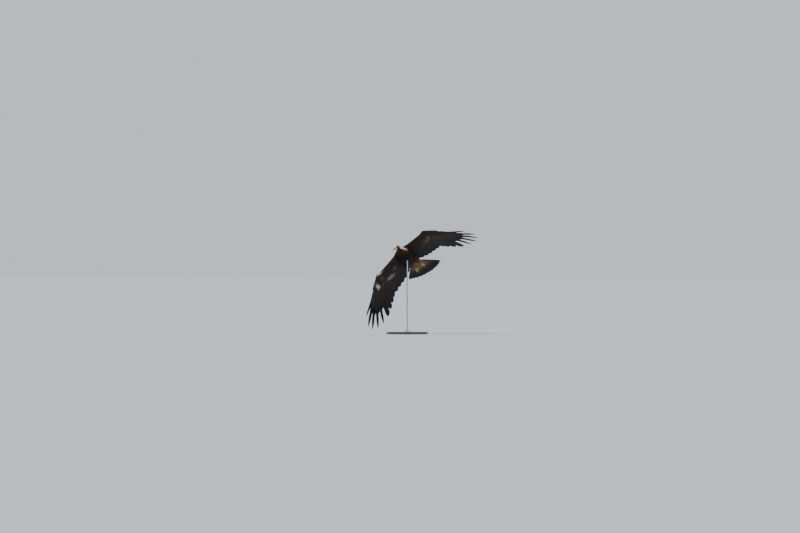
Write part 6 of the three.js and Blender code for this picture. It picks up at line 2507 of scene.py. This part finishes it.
@dataclass
class Eyes:
    """The eyes, each set deep in its socket with a thin lid and a brow that hangs over it."""

    radius: float = EYE_RADIUS
    opening: float = math.radians(45.0)
    lid_width: float = math.radians(17.0)
    lid_thickness: float = 0.45
    ridge: tuple = (
        (33.0, 13.0, 10.8, 0.4), (28.0, 17.2, 12.9, 1.1), (20.0, 21.0, 14.5, 1.5),
        (12.5, 22.6, 14.8, 1.1), (7.0, 22.2, 14.0, 0.3),
    )

    def frame(self, side: int) -> Array:
        """Returns gaze, forward-going and upward axes of one eye in the head's frame."""
        gaze = unit(both_sides(GAZE, side))
        up = unit(UP - gaze[2] * gaze)
        return np.array([gaze, np.cross(up, gaze) * side, up])

    def ball(self, side: int, away: Array, turn: Array, radius: Array) -> Array:
        """Returns points at an angle away from the gaze and a turn about it, at a radius."""
        away, turn, radius = np.broadcast_arrays(away, turn, radius)
        local = stack(np.cos(away), np.sin(away) * np.cos(turn), np.sin(away) * np.sin(turn))
        return both_sides(EYE_CENTRE, side) + radius[..., None] * (local @ self.frame(side))

    def build(self, eye: Material, lid: Material) -> None:
        """Builds both eyes, lids and brows."""
        away, turn = ring_grid(0.02, math.pi - 0.02, 72, 96)
        for side, word in SIDES:
            ball = self.ball(side, away, turn, self.radius + 0.45 * bell(away, 0.6))
            show_rings(HEAD.to_bird(ball), Piece(f"eyeball_{word}", "eye", (f"eye_{word}",)), eye)
            self.lid(side, word, lid)
            self.brow(side, word, lid)

    def lid(self, side: int, word: str, material: Material) -> None:
        """Builds the lid: a ring whose section rises off the ball and comes back to it.

        The opening is an oval with a point to the front, lower at its top where the brow
        presses on it.
        """
        turn = turns(96)[:, None]
        section = turns(16)[None, :]
        squeeze = 1 - 0.26 * np.maximum(np.sin(turn), 0.0) ** 1.6 - 0.1 * np.maximum(-np.sin(turn), 0.0)
        corner = 0.12 * bell(np.cos(turn) - 1.0, 0.12)
        away = self.opening * (squeeze + corner) + self.lid_width * (0.5 - 0.5 * np.cos(section))
        fold = 0.35 * np.sin(3 * section) * (section < math.pi)
        height = self.radius + 0.25 + self.lid_thickness * (0.35 + np.sin(section) + fold)
        points = HEAD.to_bird(self.ball(side, away, turn, height))
        quads = ring_walls(*points.shape[:2], joined=True)
        show_closed(Piece(f"eyelid_{word}", "cere_skin"), points.reshape(-1, 3), quads, material)

    def brow(self, side: int, word: str, material: Material) -> None:
        """Builds the bare ridge over the eye, a slim tapered bar that hangs outwards."""
        u, v = ring_grid(0.0, 4.0, 50, 28)
        x, y, z, thick = split(blend_rows(np.array(self.ridge), u))
        point = stack(
            x, side * (y + 1.5 * thick * np.cos(v)), z + 0.6 * thick * np.sin(v) - 0.3 * thick * np.cos(v),
        )
        show_rings(HEAD.to_bird(point), Piece(f"brow_{word}", "cere_skin"), material)


@dataclass(frozen=True)
class Toe:
    """A toe's spread to the side, start angle, curl, length, radius and claw length."""

    spread: float
    start: float
    curl: float
    length: float
    radius: float
    claw: float


@dataclass
class Feet:
    """The clenched feet: toes with rows of scutes and pads, and long curved claws."""

    centre: tuple[float, float, float] = (-352.0, 42.0, -81.0)
    pad: float = 12.5
    toes: tuple[Toe, ...] = (
        Toe(24, -6, 88, 52, 6.6, 32), Toe(2, -12, 92, 62, 6.6, 34), Toe(-22, -6, 88, 46, 6.2, 30),
        Toe(176, 60, 50, 30, 7.0, 42),
    )
    most_curl: float = 1.9
    scute: float = 3.4

    def path(self, toe: Toe, way: Array) -> tuple[Array, Array, Array]:
        """Returns points, sides and upward directions along a toe and its claw.

        The toe leaves the foot backwards, and its downward angle grows with the distance.
        """
        fine = np.linspace(0.0, toe.length + toe.claw, 400)
        share = np.minimum(fine / toe.length, self.most_curl)
        dip = np.radians(toe.start + toe.curl * share)
        spread = math.radians(toe.spread)
        back = np.array([-math.cos(spread), math.sin(spread), 0.0])
        down = np.array([0.0, 0.0, -1.0])
        heading = np.cos(dip)[:, None] * back + np.sin(dip)[:, None] * down
        step = fine[1] - fine[0]
        line = np.array(self.centre) + np.concatenate([
            np.zeros((1, 3)), np.cumsum(heading[:-1] * step, axis=0),
        ])
        point = np.stack([np.interp(way, fine, line[:, axis]) for axis in range(3)], axis=-1)
        along = unit(np.stack([np.interp(way, fine, heading[:, axis]) for axis in range(3)], axis=-1))
        side = np.broadcast_to(np.cross(back, down), along.shape)
        return point, side, np.cross(side, along)

    def tube(self, toe: Toe, way: Array, radius: Array, sides: int) -> Array:
        """Returns rings round a stretch of a toe; radius is given for each ring and side."""
        point, side, up = self.path(toe, way)
        turn = turns(sides)
        return (
            point[:, None] + side[:, None] * (np.cos(turn) * radius)[..., None]
            + up[:, None] * (np.sin(turn) * radius)[..., None]
        )

    def toe_rings(self, toe: Toe) -> Array:
        """Returns a toe: scutes step its back like shingles, and pads swell its underside."""
        way = np.linspace(0.0, toe.length, 150)
        turn = turns(40)[None, :]
        share = (way / toe.length)[:, None]
        taper = toe.radius * (1 - 0.16 * share)
        _, _, up = self.path(toe, way)
        above = np.sign((up[0] @ UP) or 1.0)
        back_side = ramp(above * np.sin(turn) * 2.2 - 0.2)
        under = ramp(-above * np.sin(turn) * 1.6)
        shingle = ((way / self.scute) % 1.0)[:, None]
        pads = np.sin(share * math.pi * 2.5 + 0.6) ** 2
        end = 1 - 0.35 * ramp(share - 0.9, 0.1)
        radius = taper * end * (1 + 0.075 * back_side * (shingle - 0.4) + 0.16 * under * pads)
        return self.tube(toe, way, radius, 40)

    def claw_rings(self, toe: Toe) -> Array:
        """Returns a claw: it tapers as a power of the way and is grooved beneath."""
        way = toe.length - 1.5 + np.linspace(0.0, toe.claw + 1.5, 70)
        share = np.linspace(0.0, 1.0, 70)[:, None]
        turn = turns(32)[None, :]
        groove = 1 - 0.12 * bell(turn - 1.5 * math.pi, 0.5)
        radius = toe.radius * 0.76 * np.maximum(1 - share**1.25, 0.02) * groove
        return self.tube(toe, way, radius, 32)

    def build(self, skin: Material, horn: Material) -> None:
        """Builds both feet and all claws."""
        for side, word in SIDES:
            parts = [closed_rings(self.toe_rings(toe)) for toe in self.toes]
            turn, around = ring_grid(0.05, math.pi - 0.05, 30, 40)
            ball = stack(np.cos(turn), np.sin(turn) * np.cos(around), np.sin(turn) * np.sin(around))
            parts.append(closed_rings(np.array(self.centre) + self.pad * ball))
            points, quads = joined_parts(parts)
            toes = Piece(f"toes_{word}", "foot_skin", (f"foot_{word}",))
            show_closed(toes, both_sides(points, side), quads, skin)
            for number, toe in enumerate(self.toes, start=1):
                claw = Piece(f"talon_{word}_{number}", "horn", (f"claw_{word}_{number}",))
                show_rings(both_sides(self.claw_rings(toe), side), claw, horn, turned=False)


@dataclass
class Stand:
    """The turned wooden base, the steel rod and its collar, upright at the row's origin."""

    base_radius: float = 240.0
    base_height: float = 26.0
    rod_radius: float = 8.0
    rod_top: float = 958.0
    collar_radius: float = 30.0
    collar_height: float = 12.0
    gap: float = 0.3

    def turned(self, profile: Array, sides: int = 160) -> tuple[Array, Array]:
        """Turns a profile of radius and height round the upright axis."""
        turn = turns(sides)[None, :]
        radius, height = profile[:, :1], profile[:, 1:]
        points = stack(radius * np.cos(turn), radius * np.sin(turn), height)
        return closed_rings(points)

    def rounded(self, radius: float, low: float, high: float, edge: float) -> Array:
        """Returns the profile of a disc whose upper and lower rims are quarter rounds."""
        turn = np.linspace(0.0, math.pi / 2, 9)
        small = edge * 0.35
        lower = stack(radius - small + small * np.sin(turn), low + small - small * np.cos(turn))
        upper = stack(radius - edge + edge * np.cos(turn), high - edge + edge * np.sin(turn))
        return np.concatenate([[[radius * 0.5, low]], lower, upper, [[radius * 0.5, high]]])

    def show(self, profile: Array, piece: Piece, material: Material) -> None:
        """Shows one turned part."""
        points, quads = self.turned(profile)
        piece.show(new_mesh(piece.name, points * MM, quads), material)

    def build(self, wood: Material, steel: Material) -> None:
        """Builds base, rod and collar."""
        base = self.rounded(self.base_radius, 0.0, self.base_height, 5.0)
        self.show(base, Piece("display_base", "stand_wood", ("stand_base",)), wood)
        low = self.base_height + self.gap
        rod = self.rounded(self.rod_radius, low, self.rod_top, 1.0)
        self.show(rod, Piece("display_rod", "stand_steel", ("stand_rod",)), steel)
        collar = self.rounded(self.collar_radius, low, low + self.collar_height, 2.4)
        self.show(collar, Piece("display_collar", "stand_steel", ("stand_collar",)), steel)


@dataclass
class Studio:
    """Floor, soft light and the camera at the photograph's angle."""

    azimuth: float = math.radians(30.0)
    target: tuple[float, float, float] = (-0.0741, -0.0391, 0.7767)
    lens: float = 200.0
    sensor: float = 36.0
    frame_width: float = 9.192
    floor_size: float = 400.0

    def camera(self) -> None:
        """Places the camera level with the middle of the frame, far off, as the photo was."""
        data = bpy.data.cameras.new("camera")
        data.lens = self.lens
        data.sensor_width = self.sensor
        data.clip_end = 500.0
        distance = self.frame_width * self.lens / self.sensor
        camera = bpy.data.objects.new("camera", data)
        back = np.array([math.sin(self.azimuth), -math.cos(self.azimuth), 0.0])
        camera.location = np.array(self.target) + back * distance
        camera.rotation_euler = (math.pi / 2, 0.0, self.azimuth)
        bpy.context.scene.collection.objects.link(camera)
        bpy.context.scene.camera = camera

    def floor(self) -> None:
        """Lays a wide pale floor."""
        half = self.floor_size / 2
        corners = np.array([[-half, -half, 0], [half, -half, 0], [half, half, 0], [-half, half, 0]], float)
        mesh = new_mesh("floor", corners, np.array([[0, 1, 2, 3]]))
        material, graph = new_material("pale_floor")
        graph.shader(base_color=colour_of(0xBCC1C8), roughness=0.9)
        mesh.materials.append(material)
        floor = bpy.data.objects.new("floor", mesh)
        bpy.context.scene.collection.objects.link(floor)

    def light(self) -> None:
        """Adds a pale surround and a broad soft key from the upper left of the camera."""
        world = bpy.data.worlds.new("surround")
        world.use_nodes = True
        graph = Graph(world.node_tree)
        surround = graph.add("ShaderNodeBackground", {"Color": colour_of(0xDCE4EE), "Strength": 0.95})
        graph.add("ShaderNodeOutputWorld", {"Surface": surround.outputs[0]})
        bpy.context.scene.world = world
        for name, power, angle, azimuth, elevation in (
            ("key", 2.6, 16.0, -52.0, 52.0), ("front", 0.7, 40.0, 40.0, 20.0),
        ):
            data = bpy.data.lights.new(name, "SUN")
            data.energy = power
            data.angle = math.radians(angle)
            lamp = bpy.data.objects.new(name, data)
            turn = self.azimuth + math.radians(azimuth)
            lamp.rotation_euler = (math.radians(90.0 - elevation), 0.0, turn)
            bpy.context.scene.collection.objects.link(lamp)

    def build(self) -> None:
        """Builds all of it."""
        self.camera()
        self.floor()
        self.light()


def main() -> None:
    """Builds the dressed bird around the frame, piece by piece."""
    logging.basicConfig(level=logging.INFO, format="%(name)s %(message)s")
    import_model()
    body, tail = BodyShape(), Tail()
    wings = {wing: WingShape(POSES[wing]) for wing in Wing}
    finishes = Finishes.made()
    Studio().build()
    pelt = Skin(body, wings, tail).build(skin_material())
    BodyCoat(body, tail, pelt).build(finishes)
    for wing, shape in wings.items():
        WingCoat(wing, shape).build(finishes, pelt)
    horn = HornFinish("bill_horn", 0x8A8F97, 0x1E2024, 0.15, 0.8).material()
    claws = HornFinish("claw_horn", 0x3A3B40, 0x121214, 0.0, 0.5).material()
    wax = WaxFinish("cere_wax", 0xDDB548, 0xC08F2E, 1500.0, 0.00008, 0.12).material()
    lids = WaxFinish("lid_skin", 0x4A3C30, 0x2A211C, 1400.0, 0.0002).material()
    scales = WaxFinish("foot_scales", 0xCFAC5A, 0xA47D38, 420.0, 0.0005).material()
    Bill().build(horn, wax, pelt)
    Eyes().build(eye_material(), lids)
    Feet().build(scales, claws)
    Stand().build(wood_material(), steel_material())


if __name__ == "__main__":
    main()
